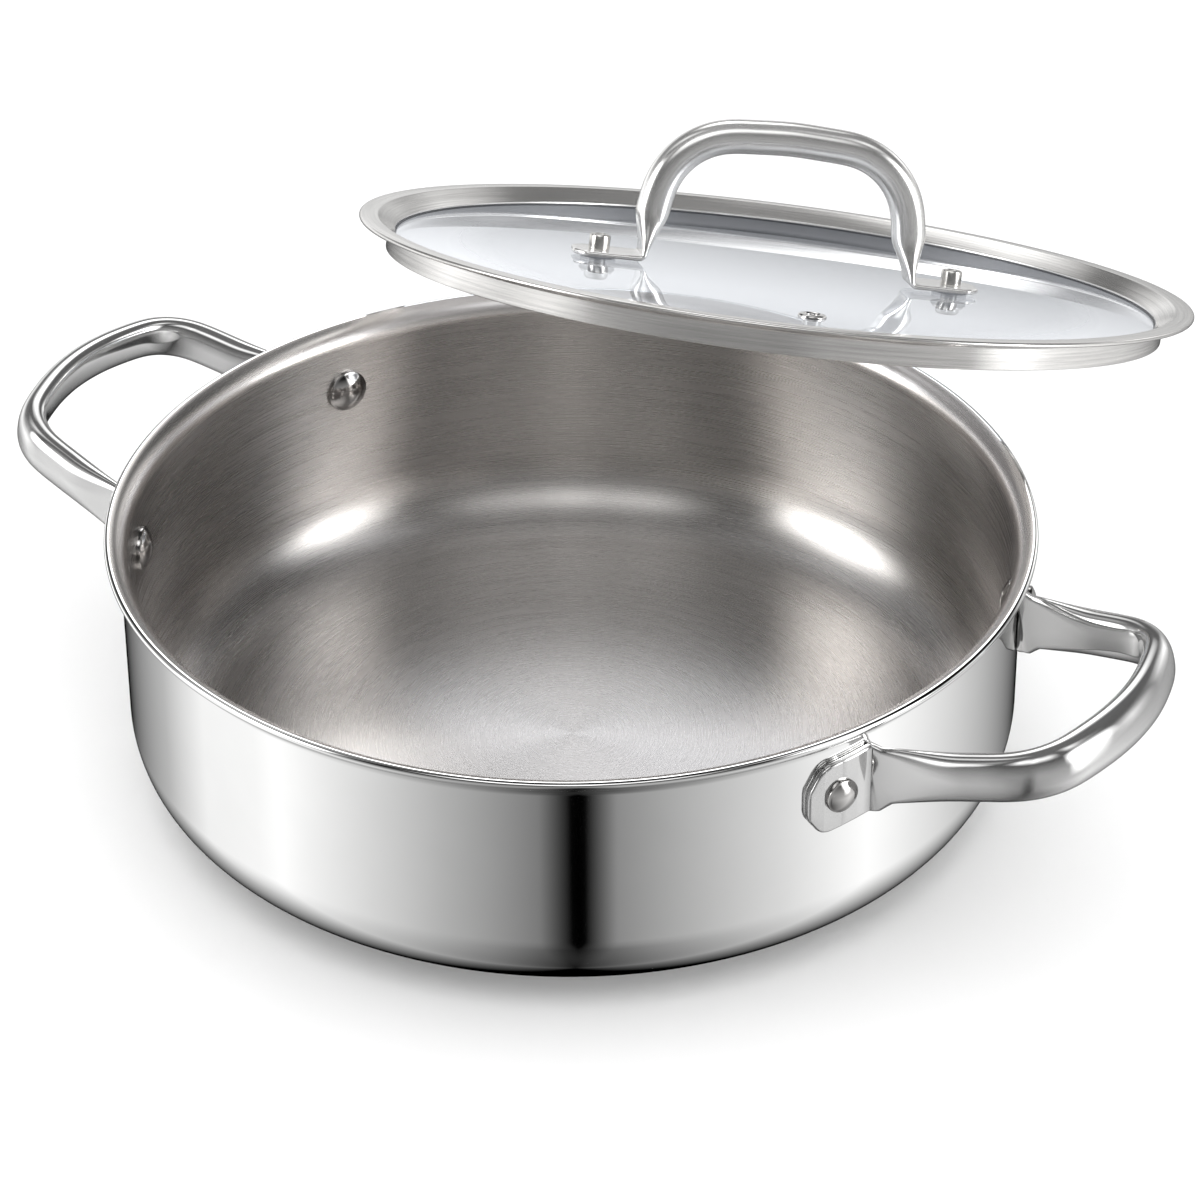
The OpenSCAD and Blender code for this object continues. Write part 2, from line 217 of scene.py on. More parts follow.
@dataclass
class Lathe:
    """A closed outline, or one that starts and ends on the axis, spun about Z."""

    outline: list[Point]
    segments: int = 96
    crease: float = 38.0

    def build(self, name: str, pose: Matrix) -> bpy.types.Object:
        """Spins the outline.

        Args:
            name: The object's name.
            pose: Where it goes, in millimetres.

        Returns:
            The turned object.
        """
        bm = bmesh.new()
        verts = [bm.verts.new((r, 0.0, z)) for r, z in self.outline]
        edges = [bm.edges.new((verts[i], verts[i + 1])) for i in range(len(verts) - 1)]
        on_axis = self.outline[0][0] == 0 and self.outline[-1][0] == 0
        if not on_axis:
            edges.append(bm.edges.new((verts[-1], verts[0])))
        bmesh.ops.spin(
            bm, geom=verts + edges, cent=(0, 0, 0), axis=(0, 0, 1), dvec=(0, 0, 0),
            angle=2 * math.pi, steps=self.segments, use_merge=True, use_duplicate=False,
        )
        bmesh.ops.remove_doubles(bm, verts=bm.verts, dist=TOUCHING)
        bmesh.ops.dissolve_degenerate(bm, edges=bm.edges, dist=SHORTEST)
        return finish_mesh(bm, name, pose, self.crease)


@dataclass
class Sweep:
    """A tube drawn through rings of points, with a UV map: U along it and V around it."""

    rings: list[list[Vector]]
    crease: float = 50.0

    def build(self, name: str, pose: Matrix) -> bpy.types.Object:
        """Extrudes the first ring through the others and closes both ends.

        Args:
            name: The object's name.
            pose: Where it goes, in millimetres.

        Returns:
            The swept object.
        """
        bm = bmesh.new()
        along = bm.verts.layers.float.new("along")
        around = bm.verts.layers.float.new("around")
        count = len(self.rings[0])
        ring = [bm.verts.new(p) for p in self.rings[0]]
        for j, vert in enumerate(ring):
            vert[around] = j / count
        edges = [bm.edges.new((ring[j], ring[(j + 1) % count])) for j in range(count)]
        bm.faces.new(ring)
        run = 0.0
        middle = sum(self.rings[0], Vector()) / count
        for points in self.rings[1:]:
            grown = bmesh.ops.extrude_edge_only(bm, edges=edges)["geom"]
            fresh = {v for v in grown if isinstance(v, bmesh.types.BMVert)}
            following = []
            for vert in ring:
                link = next(e for e in vert.link_edges if e.other_vert(vert) in fresh)
                following.append(link.other_vert(vert))
            here = sum(points, Vector()) / count
            run += (here - middle).length
            middle = here
            for j, vert in enumerate(following):
                vert.co = points[j]
                vert[along] = run
                vert[around] = j / count
            ring = following
            edges = [e for e in grown if isinstance(e, bmesh.types.BMEdge)]
        bm.faces.new(ring)
        uv = bm.loops.layers.uv.new("tube")
        # Round the tube, the faces past the seam run on above 1
        for face in bm.faces:
            high = max(loop.vert[around] for loop in face.loops)
            for loop in face.loops:
                turn = loop.vert[around]
                wrapped = turn + 1 if high > 0.75 and turn < 0.25 else turn
                loop[uv].uv = (loop.vert[along] * MM, wrapped)
        return finish_mesh(bm, name, pose, self.crease)


def tube_section(height: float, width: float, fullness: float) -> list[Point]:
    """The section of a pressed tube, flat-sided when pinched and a full oval when open.

    Args:
        height: Its size along the first axis.
        width: Its size along the second.
        fullness: 0 for a pinched section, 1 for the full tube.

    Returns:
        Points around it, always the same number.
    """
    points = []
    quarter, flats, power = 9, 4, 2.3
    radius = width / 2
    flat = (height - width) / 2
    for turn in (0, 180):
        way = 1 if turn == 0 else -1
        for i in range(2 * quarter + 1):
            a = math.radians(-90 + 180 * i / (2 * quarter))
            points.append((way * (flat + radius * math.cos(a)), way * radius * math.sin(a)))
        for i in range(1, flats):
            points.append((way * mix(flat, -flat, i / flats), way * radius))
    shaped = []
    for x, y in points:
        a = math.atan2(y / width, x / height)
        reach = (abs(math.cos(a)) ** power + abs(math.sin(a)) ** power) ** (-1 / power)
        oval = (height / 2 * reach * math.cos(a), width / 2 * reach * math.sin(a))
        shaped.append((mix(x, oval[0], fullness), mix(y, oval[1], fullness)))
    return shaped


def smooth_path(corners: list[Vector], radii: list[float], step: float) -> list[Vector]:
    """A line through corners, each rounded, with points no further apart than a step.

    Args:
        corners: The line's corners.
        radii: Each corner's radius, 0 at both ends.
        step: The longest distance between two points.

    Returns:
        The line's points.
    """
    line: list[Vector] = []
    for i, corner in enumerate(corners):
        if radii[i] == 0:
            line.append(corner)
        else:
            before, after = corners[i - 1], corners[i + 1]
            line += round_corner(before, corner, after, radii[i], BEND_STEPS)
    fine: list[Vector] = []
    for a, b in zip(line, line[1:]):
        pieces = max(1, math.ceil((b - a).length / step))
        fine += [a.lerp(b, k / pieces) for k in range(pieces)]
    return fine + [line[-1]]


def relaxed(line: list[Vector], reach: float, ends: float) -> list[Vector]:
    """Smooths the bends of a fine line, so that its curvature has no steps.

    Args:
        line: The line, with even gaps between its points.
        reach: How far each point looks to both sides.
        ends: The length at both ends that stays as it is.

    Returns:
        The smoothed line.
    """
    run = running_lengths(line)
    least_share = 0.1
    smooth = []
    for i, point in enumerate(line):
        room = min(run[i], run[-1] - run[i]) - ends
        near = min(reach, room)
        if near <= 0:
            smooth.append(point)
            continue
        total, weight = Vector(), 0.0
        for way in (-1, 1):
            j = i
            while 0 <= j < len(line) and abs(run[j] - run[i]) <= near:
                share = near - abs(run[j] - run[i]) + least_share
                total += line[j] * share
                weight += share
                j += way
        smooth.append(total / weight)
    return smooth


def running_lengths(line: list[Vector]) -> list[float]:
    """The length of the line up to each of its points.

    Args:
        line: The line's points.

    Returns:
        One length for each point, starting with zero.
    """
    lengths = [0.0]
    for a, b in zip(line, line[1:]):
        lengths.append(lengths[-1] + (b - a).length)
    return lengths


def thinned(line: list[Vector], gap: float, ends: float) -> list[Vector]:
    """Drops points of a fine line where it is straight.

    Args:
        line: The line.
        gap: The distance between points that are kept.
        ends: The length at both ends where every point is kept.

    Returns:
        The points that are left.
    """
    most_turn = math.radians(3)
    run = running_lengths(line)
    kept, last, turned = [line[0]], 0.0, 0.0
    for i in range(1, len(line) - 1):
        turned += (line[i] - line[i - 1]).angle(line[i + 1] - line[i], 0.0)
        near_end = min(run[i], run[-1] - run[i]) < ends
        if near_end or run[i] - last >= gap or turned > most_turn:
            kept.append(line[i])
            last, turned = run[i], 0.0
    return kept + [line[-1]]


def smooth_headings(line: list[Vector]) -> list[Vector]:
    """The line's direction at each of its points."""
    last = len(line) - 1
    return [(line[min(i + 1, last)] - line[max(i - 1, 0)]).normalized() for i in range(last + 1)]


@dataclass(frozen=True)
class Drawing:
    """How a bent tube's middle line is drawn, in millimetres.

    Each point is smoothed over relax to both sides, but the flat ends and the still part past them
    stay as they are. Points lie a gap apart where the line is straight, and all are kept over the
    first and the last kept millimetres.
    """

    relax: float
    still: float
    gap: float
    kept: float
    step: float = 0.5

    def draw(self, corners: list[Vector], radii: list[float], ends: float) -> list[Vector]:
        """Draws the line.

        Args:
            corners: The line's corners.
            radii: Each corner's radius, 0 at both ends.
            ends: The length of the flat part at both ends.

        Returns:
            The line's points.
        """
        fine = smooth_path(corners, radii, self.step)
        return thinned(relaxed(fine, self.relax, ends + self.still), self.gap, self.kept)


class ShaderTree:
    """Short calls for the nodes that a finish is made of."""

    def __init__(self, owner: bpy.types.ID) -> None:
        """Starts with an empty tree.

        Args:
            owner: The material or world that the tree belongs to.
        """
        owner.use_nodes = True
        self.owner = owner
        self.tree = owner.node_tree
        self.tree.nodes.clear()

    @classmethod
    def material(cls, name: str) -> "ShaderTree":
        """The empty tree of a new material."""
        return cls(bpy.data.materials.new(name))

    def add(self, kind: str, **settings: object) -> bpy.types.Node:
        """Adds a node and sets its properties.

        Args:
            kind: The node's type name.
            **settings: Properties of the node.

        Returns:
            The node.
        """
        node = self.tree.nodes.new(kind)
        for key, value in settings.items():
            setattr(node, key, value)
        return node

    def join(self, source: object, target: bpy.types.NodeSocket) -> None:
        """Sets a socket to a value, or links another socket to it.

        Args:
            source: A number, a tuple, or a node's output.
            target: The input to feed.
        """
        if isinstance(source, bpy.types.NodeSocket):
            self.tree.links.new(source, target)
        else:
            target.default_value = source

    def math(self, operation: str, *values: object) -> bpy.types.NodeSocket:
        """The result of a sum on numbers.

        Args:
            operation: The math node's operation.
            *values: Its numbers, or outputs that give them.

        Returns:
            The node's value.
        """
        node = self.add("ShaderNodeMath", operation=operation)
        for i, value in enumerate(values):
            self.join(value, node.inputs[i])
        return node.outputs[0]

    def vector(self, operation: str, *values: object) -> bpy.types.NodeSocket:
        """The result of a sum on vectors.

        Args:
            operation: The vector math node's operation.
            *values: Its vectors, or outputs that give them.

        Returns:
            The node's vector.
        """
        node = self.add("ShaderNodeVectorMath", operation=operation)
        for i, value in enumerate(values):
            self.join(value, node.inputs[i])
        return node.outputs["Vector"]

    def noise(
        self, at: object, scale: float, detail: float, rough: float = 0.55
    ) -> bpy.types.NodeSocket:
        """A noise value from 0 to 1.

        Args:
            at: Where to read it.
            scale: Its scale.
            detail: How many finer layers it has.
            rough: How strong the finer layers are.

        Returns:
            The noise node's value.
        """
        node = self.add("ShaderNodeTexNoise")
        self.join(at, node.inputs["Vector"])
        node.inputs["Scale"].default_value = scale
        node.inputs["Detail"].default_value = detail
        node.inputs["Roughness"].default_value = rough
        return node.outputs["Fac"]

    def spread(self, value: object, low: float, high: float) -> bpy.types.NodeSocket:
        """Stretches a noise over a range.

        Args:
            value: The noise.
            low: What its low values become.
            high: What its high values become.

        Returns:
            The stretched value, held at both ends.
        """
        node = self.add("ShaderNodeMapRange")
        self.join(value, node.inputs["Value"])
        node.inputs["From Min"].default_value = NOISE_LOW
        node.inputs["From Max"].default_value = NOISE_HIGH
        node.inputs["To Min"].default_value = low
        node.inputs["To Max"].default_value = high
        return node.outputs["Result"]

    def near(self, value: object, middle: float, reach: float) -> bpy.types.NodeSocket:
        """1 where an angle is at the middle, falling evenly to 0 at the reach.

        Args:
            value: The angle in degrees.
            middle: The angle that gives 1.
            reach: How far from it 0 is reached.

        Returns:
            The share.
        """
        away = self.math("SUBTRACT", value, middle)
        around = self.math("WRAP", away, 180.0, -180.0)
        fall = self.math("SUBTRACT", 1.0, self.math("DIVIDE", self.math("ABSOLUTE", around), reach))
        return self.math("MAXIMUM", 0.0, fall)

    def blend(self, share: object, first: object, second: object) -> bpy.types.NodeSocket:
        """The number between two numbers, held at both ends.

        Args:
            share: 0 for the first number, 1 for the second.
            first: The first number.
            second: The second number.

        Returns:
            The number between them.
        """
        node = self.add("ShaderNodeMix", data_type="FLOAT", clamp_factor=True)
        for key, value in (("Factor", share), ("A", first), ("B", second)):
            self.join(value, node.inputs[key])
        return node.outputs["Result"]

    def held(self, value: object) -> bpy.types.NodeSocket:
        """A number that is held between 0 and 1."""
        return self.math("MINIMUM", 1.0, self.math("MAXIMUM", 0.0, value))

    def tint(self, colour: Colour, by: object) -> bpy.types.NodeSocket:
        """A colour made lighter or darker by a factor.

        Args:
            colour: The colour.
            by: The factor.

        Returns:
            The colour times the factor.
        """
        node = self.add("ShaderNodeVectorMath", operation="SCALE")
        node.inputs[0].default_value = colour
        self.join(by, node.inputs["Scale"])
        return node.outputs["Vector"]

    def bump(self, height: object, depth: float) -> bpy.types.NodeSocket:
        """A normal that is tilted by a height.

        Args:
            height: The height, from 0 to 1.
            depth: How many metres 1 stands for.

        Returns:
            The bump node's normal.
        """
        node = self.add("ShaderNodeBump")
        node.inputs["Strength"].default_value = 1.0
        node.inputs["Distance"].default_value = depth
        self.join(height, node.inputs["Height"])
        return node.outputs["Normal"]

    def surface(self, shader: bpy.types.NodeSocket) -> bpy.types.Material:
        """Closes the material with its output.

        Args:
            shader: What the surface shows.

        Returns:
            The material.
        """
        out = self.add("ShaderNodeOutputMaterial")
        self.tree.links.new(shader, out.inputs["Surface"])
        return self.owner

    def metal(
        self, colour: object, roughness: object, normal: object, share: float = 1.0
    ) -> bpy.types.Node:
        """A bare metal surface.

        Args:
            colour: Its colour.
            roughness: Its roughness.
            normal: Its bumped normal.
            share: How much of it is bare metal; the rest is a pale bloom.

        Returns:
            The surface node, for more settings.
        """
        node = self.add("ShaderNodeBsdfPrincipled")
        node.inputs["Metallic"].default_value = share
        self.join(colour, node.inputs["Base Color"])
        self.join(roughness, node.inputs["Roughness"])
        self.join(normal, node.inputs["Normal"])
        return node


@dataclass(frozen=True)
class Axis:
    """The axis that a turned finish runs around, in metres."""

    place: tuple[float, float, float] = (0.0, 0.0, 0.0)
    turn: tuple[float, float, float] = (0.0, 0.0, 0.0)
    along: tuple[float, float, float] = (0.0, 0.0, 1.0)

    @classmethod
    def of(cls, pose: Matrix) -> "Axis":
        """The Z axis of a pose given in millimetres."""
        place = pose.to_translation() * MM
        return cls(tuple(place), tuple(pose.to_euler()), tuple(pose.to_3x3() @ Vector((0, 0, 1))))


@dataclass(frozen=True)
class TurnedSteel:
    """Steel with fine lines around an axis, from a brush or a lathe.

    Line is the width of the lines in millimetres, and arcs says how often they break on their way
    round. Where a lip height is given, the metal above it is buffed to a satin, and its colour
    there is raised as a painted sheen, for the lip that looks pale from the light it mirrors.
    """

    colour: Colour
    roughness: float
    stretch: float
    line: float = 0.5
    depth: float = 4e-6
    axis: Axis = field(default_factory=Axis)
    share: float = 1.0
    streaks: float = 0.055
    arcs: float = 2.2
    cloud_scale: float = 35.0
    satin_and_sheen_above: float | None = None
    satin_and_sheen_edge: float = 0.002
    satin_roughness: float = 0.27
    satin_stretch: float = 0.2
    # How much paler the colour is painted over the lip, a painted sheen
    painted_sheen_gain: float = 0.62

    def make(self, name: str) -> bpy.types.Material:
        """Builds the material.

        Args:
            name: Its name.

        Returns:
            The material.
        """
        s = ShaderTree.material(name)
        here = s.add("ShaderNodeTexCoord").outputs["Object"]
        local = s.add("ShaderNodeMapping", vector_type="TEXTURE")
        s.join(here, local.inputs["Vector"])
        local.inputs["Location"].default_value = self.axis.place
        local.inputs["Rotation"].default_value = self.axis.turn
        parts = s.add("ShaderNodeSeparateXYZ")
        s.join(local.outputs["Vector"], parts.inputs[0])
        x, y, z = parts.outputs
        radius = s.math("SQRT", s.math("ADD", s.math("MULTIPLY", x, x), s.math("MULTIPLY", y, y)))
        inverse = s.math("DIVIDE", 1.0, s.math("MAXIMUM", radius, SMALLEST))
        lines = s.add("ShaderNodeCombineXYZ")
        for part, target in zip((x, y), lines.inputs):
            s.join(s.math("MULTIPLY", s.math("MULTIPLY", part, inverse), self.arcs), target)
        across = s.math("MULTIPLY", s.math("ADD", radius, z), 1 / (self.line * MM))
        s.join(across, lines.inputs[2])
        scratches = s.noise(lines.outputs[0], 1.0, 5.0, 0.65)
        cloud = s.spread(s.noise(here, self.cloud_scale, 3.0), 0.975, 1.02)
        shade = s.math("MULTIPLY", s.spread(scratches, 1 - self.streaks, 1 + self.streaks), cloud)
        rough = s.math("MULTIPLY", s.spread(scratches, 0.9, 1.1), self.roughness)
        stretch: object = self.stretch
        if self.satin_and_sheen_above is not None:
            over = s.math("SUBTRACT", z, self.satin_and_sheen_above)
            satin_and_sheen = s.held(s.math("MULTIPLY", over, 1 / self.satin_and_sheen_edge))
            # Painted sheen: the colour is made paler over the lip, standing in for the light it
            # mirrors
            shade = s.math("ADD", shade, s.math("MULTIPLY", satin_and_sheen, self.painted_sheen_gain))
            rough = s.blend(satin_and_sheen, rough, self.satin_roughness)
            stretch = s.blend(satin_and_sheen, self.stretch, self.satin_stretch)
        normal = s.bump(scratches, self.depth)
        steel = s.metal(s.tint(self.colour, shade), rough, normal, self.share)
        s.join(stretch, steel.inputs["Anisotropic"])
        steel.inputs["Anisotropic Rotation"].default_value = 0.25
        outwards = s.vector("SUBTRACT", here, self.axis.place)
        around = s.vector("CROSS_PRODUCT", self.axis.along, outwards)
        s.join(s.vector("NORMALIZE", around), steel.inputs["Tangent"])
        return s.surface(steel.outputs[0])


@dataclass(frozen=True)
class PolishedSteel:
    """Buffed steel: a mirror with a faint haze and hardly visible buffing marks."""

    colour: Colour
    roughness: float
    haze: float = 0.02
    share: float = 1.0
    cloud_scale: float = 60.0
    mark_scale: float = 900.0
    mark_depth: float = 2.5e-7

    def make(self, name: str) -> bpy.types.Material:
        """Builds the material.

        Args:
            name: Its name.

        Returns:
            The material.
        """
        s = ShaderTree.material(name)
        here = s.add("ShaderNodeTexCoord").outputs["Object"]
        cloud = s.noise(here, self.cloud_scale, 4.0)
        marks = s.noise(here, self.mark_scale, 3.0)
        rough = s.math("ADD", self.roughness, s.math("MULTIPLY", cloud, self.haze))
        colour = s.tint(self.colour, s.spread(cloud, 0.985, 1.01))
        steel = s.metal(colour, rough, s.bump(marks, self.mark_depth), self.share)
        return s.surface(steel.outputs[0])


@dataclass(frozen=True)
class SatinTube:
    """Tube polished along its length, so its fine lines follow it."""

    colour: Colour
    roughness: float
    stretch: float = 0.5
    share: float = 1.0
    line_depth: float = 1.5e-6
    spacing: tuple[float, float, float] = (60.0, 150.0, 1.0)

    def make(self, name: str) -> bpy.types.Material:
        """Builds the material.

        Args:
            name: Its name.

        Returns:
            The material.
        """
        s = ShaderTree.material(name)
        uv = s.add("ShaderNodeUVMap", uv_map="tube").outputs["UV"]
        spaced = s.vector("MULTIPLY", uv, self.spacing)
        lines = s.noise(spaced, 1.0, 5.0, 0.6)
        rough = s.math("MULTIPLY", s.spread(lines, 0.85, 1.15), self.roughness)
        shade = s.tint(self.colour, s.spread(lines, 0.88, 1.08))
        steel = s.metal(shade, rough, s.bump(lines, self.line_depth), self.share)
        steel.inputs["Anisotropic"].default_value = self.stretch
        steel.inputs["Anisotropic Rotation"].default_value = 0.25
        along = s.add("ShaderNodeTangent", direction_type="UV_MAP", uv_map="tube")
        s.join(along.outputs[0], steel.inputs["Tangent"])
        return s.surface(steel.outputs[0])


@dataclass(frozen=True)
class ClearGlass:
    """Tempered glass: a pale tint, a faint haze, and the reflection of both faces.

    At a low angle its edge hides what lies behind it, as refraction does in the real disc.
    """

    tint: Colour
    centre: tuple[float, float, float]
    haze: float = 0.14
    most_haze: float = 0.85
    edge_from: float = 0.100
    edge_to: float = 0.122
    edge_haze: float = 2.3
    ior: float = 1.52
    film_scale: float = 25.0
    film_roughness: float = 0.012

    def make(self, name: str) -> bpy.types.Material:
        """Builds the material.

        Args:
            name: Its name.

        Returns:
            The material.
        """
        s = ShaderTree.material(name)
        here = s.add("ShaderNodeTexCoord").outputs["Object"]
        film = s.noise(here, self.film_scale, 4.0)
        through = s.add("ShaderNodeBsdfTransparent")
        s.join(s.tint(self.tint, s.spread(film, 0.985, 1.0)), through.inputs["Color"])
        mirror = s.add("ShaderNodeBsdfGlossy")
        mirror.inputs["Color"].default_value = (0.95, 0.97, 1.0, 1.0)
        s.join(s.math("MULTIPLY", film, self.film_roughness), mirror.inputs["Roughness"])
        fresnel = s.add("ShaderNodeFresnel")
        fresnel.inputs["IOR"].default_value = self.ior
        one = fresnel.outputs[0]
        both_faces = s.math("DIVIDE", s.math("MULTIPLY", 2.0, one), s.math("ADD", 1.0, one))
        entering = s.math("SUBTRACT", 1.0, s.add("ShaderNodeNewGeometry").outputs["Backfacing"])
        veil = s.math("ADD", self.edge_veil(s, here, one), self.haze)
        veil = s.math("MINIMUM", self.most_haze, veil)
        haze = s.add("ShaderNodeBsdfDiffuse")
        haze.inputs["Color"].default_value = (0.90, 0.92, 0.96, 1.0)
        body = self.layered(s, s.math("MULTIPLY", entering, veil), through, haze)
        whole = self.layered(s, s.math("MULTIPLY", both_faces, entering), body, mirror)
        return s.surface(whole.outputs[0])

    def edge_veil(self, s: ShaderTree, here: object, grazing: object) -> bpy.types.NodeSocket:
        """The haze towards the edge, which grows as the view gets lower.

        Args:
            s: The material's tree.
            here: The place on the glass.
            grazing: One face's reflection, which is strong at a low angle.

        Returns:
            The haze, from zero up.
        """
        away = s.add("ShaderNodeVectorMath", operation="DISTANCE")
        s.join(here, away.inputs[0])
        s.join(self.centre, away.inputs[1])
        past = s.math("SUBTRACT", away.outputs["Value"], self.edge_from)
        near_edge = s.held(s.math("DIVIDE", past, self.edge_to - self.edge_from))
        return s.math("MULTIPLY", s.math("MULTIPLY", near_edge, grazing), self.edge_haze)

    def layered(
        self, s: ShaderTree, share: object, under: bpy.types.Node, over: bpy.types.Node
    ) -> bpy.types.Node:
        """Two shaders mixed.

        Args:
            s: The material's tree.
            share: How much shows of the second.
            under: The first shader.
            over: The second shader.

        Returns:
            The mixing node.
        """
        node = s.add("ShaderNodeMixShader")
        s.join(share, node.inputs[0])
        s.join(under.outputs[0], node.inputs[1])
        s.join(over.outputs[0], node.inputs[2])
        return node


@dataclass(frozen=True)
class SoftRubber:
    """Matt rubber or silicone with a fine moulded grain."""

    colour: Colour
    roughness: float = 0.55
    grain_scale: float = 2500.0
    grain_depth: float = 8e-6
    grain_spread: float = 0.06

    def make(self, name: str) -> bpy.types.Material:
        """Builds the material.

        Args:
            name: Its name.

        Returns:
            The material.
        """
        s = ShaderTree.material(name)
        here = s.add("ShaderNodeTexCoord").outputs["Object"]
        grain = s.noise(here, self.grain_scale, 3.0)
        cloud = s.noise(here, 120.0, 2.0)
        rubber = s.add("ShaderNodeBsdfPrincipled")
        s.join(s.tint(self.colour, s.spread(cloud, 0.9, 1.1)), rubber.inputs["Base Color"])
        low, high = self.roughness - self.grain_spread, self.roughness + self.grain_spread
        s.join(s.spread(grain, low, high), rubber.inputs["Roughness"])
        s.join(s.bump(grain, self.grain_depth), rubber.inputs["Normal"])
        return s.surface(rubber.outputs[0])


@dataclass(frozen=True)
class RolledAluminium:
    """Plain rolled aluminium with lines in the rolling direction."""

    colour: Colour
    roughness: float = 0.38
    line_depth: float = 3e-6
    spacing: tuple[float, float, float] = (20.0, 900.0, 900.0)

    def make(self, name: str) -> bpy.types.Material:
        """Builds the material.

        Args:
            name: Its name.

        Returns:
            The material.
        """
        s = ShaderTree.material(name)
        here = s.add("ShaderNodeTexCoord").outputs["Object"]
        lines = s.noise(s.vector("MULTIPLY", here, self.spacing), 1.0, 4.0)
        shade = s.tint(self.colour, s.spread(lines, 0.94, 1.04))
        metal = s.metal(shade, self.roughness, s.bump(lines, self.line_depth))
        return s.surface(metal.outputs[0])


@dataclass
class Shop:
    """Puts finished pieces, with their material, on their body in place of their node."""

    made: list[bpy.types.Object] = field(default_factory=list)

    def fit(
        self, piece: bpy.types.Object, material: bpy.types.Material, node: str, body: str
    ) -> None:
        """Dresses a piece and hands it to the frame.

        Args:
            piece: The new piece.
            material: Its material.
            node: The node that it stands for.
            body: The body that it rides on.
        """
        piece.data.materials.clear()
        piece.data.materials.append(material)
        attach(piece, body)
        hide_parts(node)
        if body == "lid":
            # In the photograph the lid throws no shadow
            piece.visible_shadow = piece.visible_diffuse = False
        self.made.append(piece)
        log.info("%s: %d faces", piece.name, len(piece.data.polygons))


@dataclass
class PanWall:
    """The clad pan: an inner and an outer steel ply around an aluminium core."""

    inner_r: float = 140.0
    wall_t: float = 2.6
    height: float = 87.0
    corner_r: float = 23.7
    flare_r: float = 7.5
    lip_sweep: float = 75.0
    ply_t: float = 0.5
    segments: int = 320

    @property
    def outer_r(self) -> float:
        """The outside radius of the straight wall."""
        return self.inner_r + self.wall_t

    @property
    def flare_centre(self) -> Point:
        """The middle of the lip's bend, in section."""
        rise = (self.flare_r - self.wall_t / 2) * math.sin(math.radians(self.lip_sweep))
        return (self.inner_r + self.flare_r, self.height - self.wall_t / 2 - rise)

    def sheet(self, off: float) -> list[Point]:
        """The sheet's section from the axis to the lip.

        Args:
            off: How far the line lies out from the inside face.

        Returns:
            Its points.
        """
        bend = (self.inner_r - self.corner_r, self.wall_t + self.corner_r)
        floor = [(0.0, self.wall_t - off), (bend[0] / 2, self.wall_t - off)]
        return (
            floor
            + arc(bend, self.corner_r + off, -90, 0, 28)
            + arc(self.flare_centre, self.flare_r - off, 180, 180 - self.lip_sweep, 16)
        )

    def nose(self) -> list[Point]:
        """The rounded edge of the lip.

        Returns:
            Its points, from the outer face round to the inner one.
        """
        edge = math.radians(180 - self.lip_sweep)
        away = Vector((math.cos(edge), math.sin(edge)))
        onward = Vector((away.y, -away.x))
        middle = Vector(self.flare_centre) + away * (self.flare_r - self.wall_t / 2)
        points = []
        steps = 12
        for i in range(1, steps):
            a = math.pi * i / steps
            p = middle + (onward * math.sin(a) - away * math.cos(a)) * (self.wall_t / 2)
            points.append((p.x, p.y))
        return points

    def build(self, shop: Shop, inside: bpy.types.Material, outside: bpy.types.Material) -> None:
        """Makes the two plies.

        Args:
            shop: Takes the finished pieces.
            inside: The cooking surface's material.
            outside: The outer wall's material.
        """
        inner = self.sheet(0) + self.sheet(self.ply_t)[::-1]
        piece = Lathe(inner, self.segments).build("pan_inside", Matrix())
        shop.fit(piece, inside, "inner_ply", "pan")
        back = self.sheet(self.wall_t - self.ply_t)[::-1]
        outer = self.sheet(self.wall_t) + self.nose() + [self.sheet(0)[-1]] + back
        piece = Lathe(outer, self.segments).build("pan_outside", Matrix())
        shop.fit(piece, outside, "outer_ply", "pan")


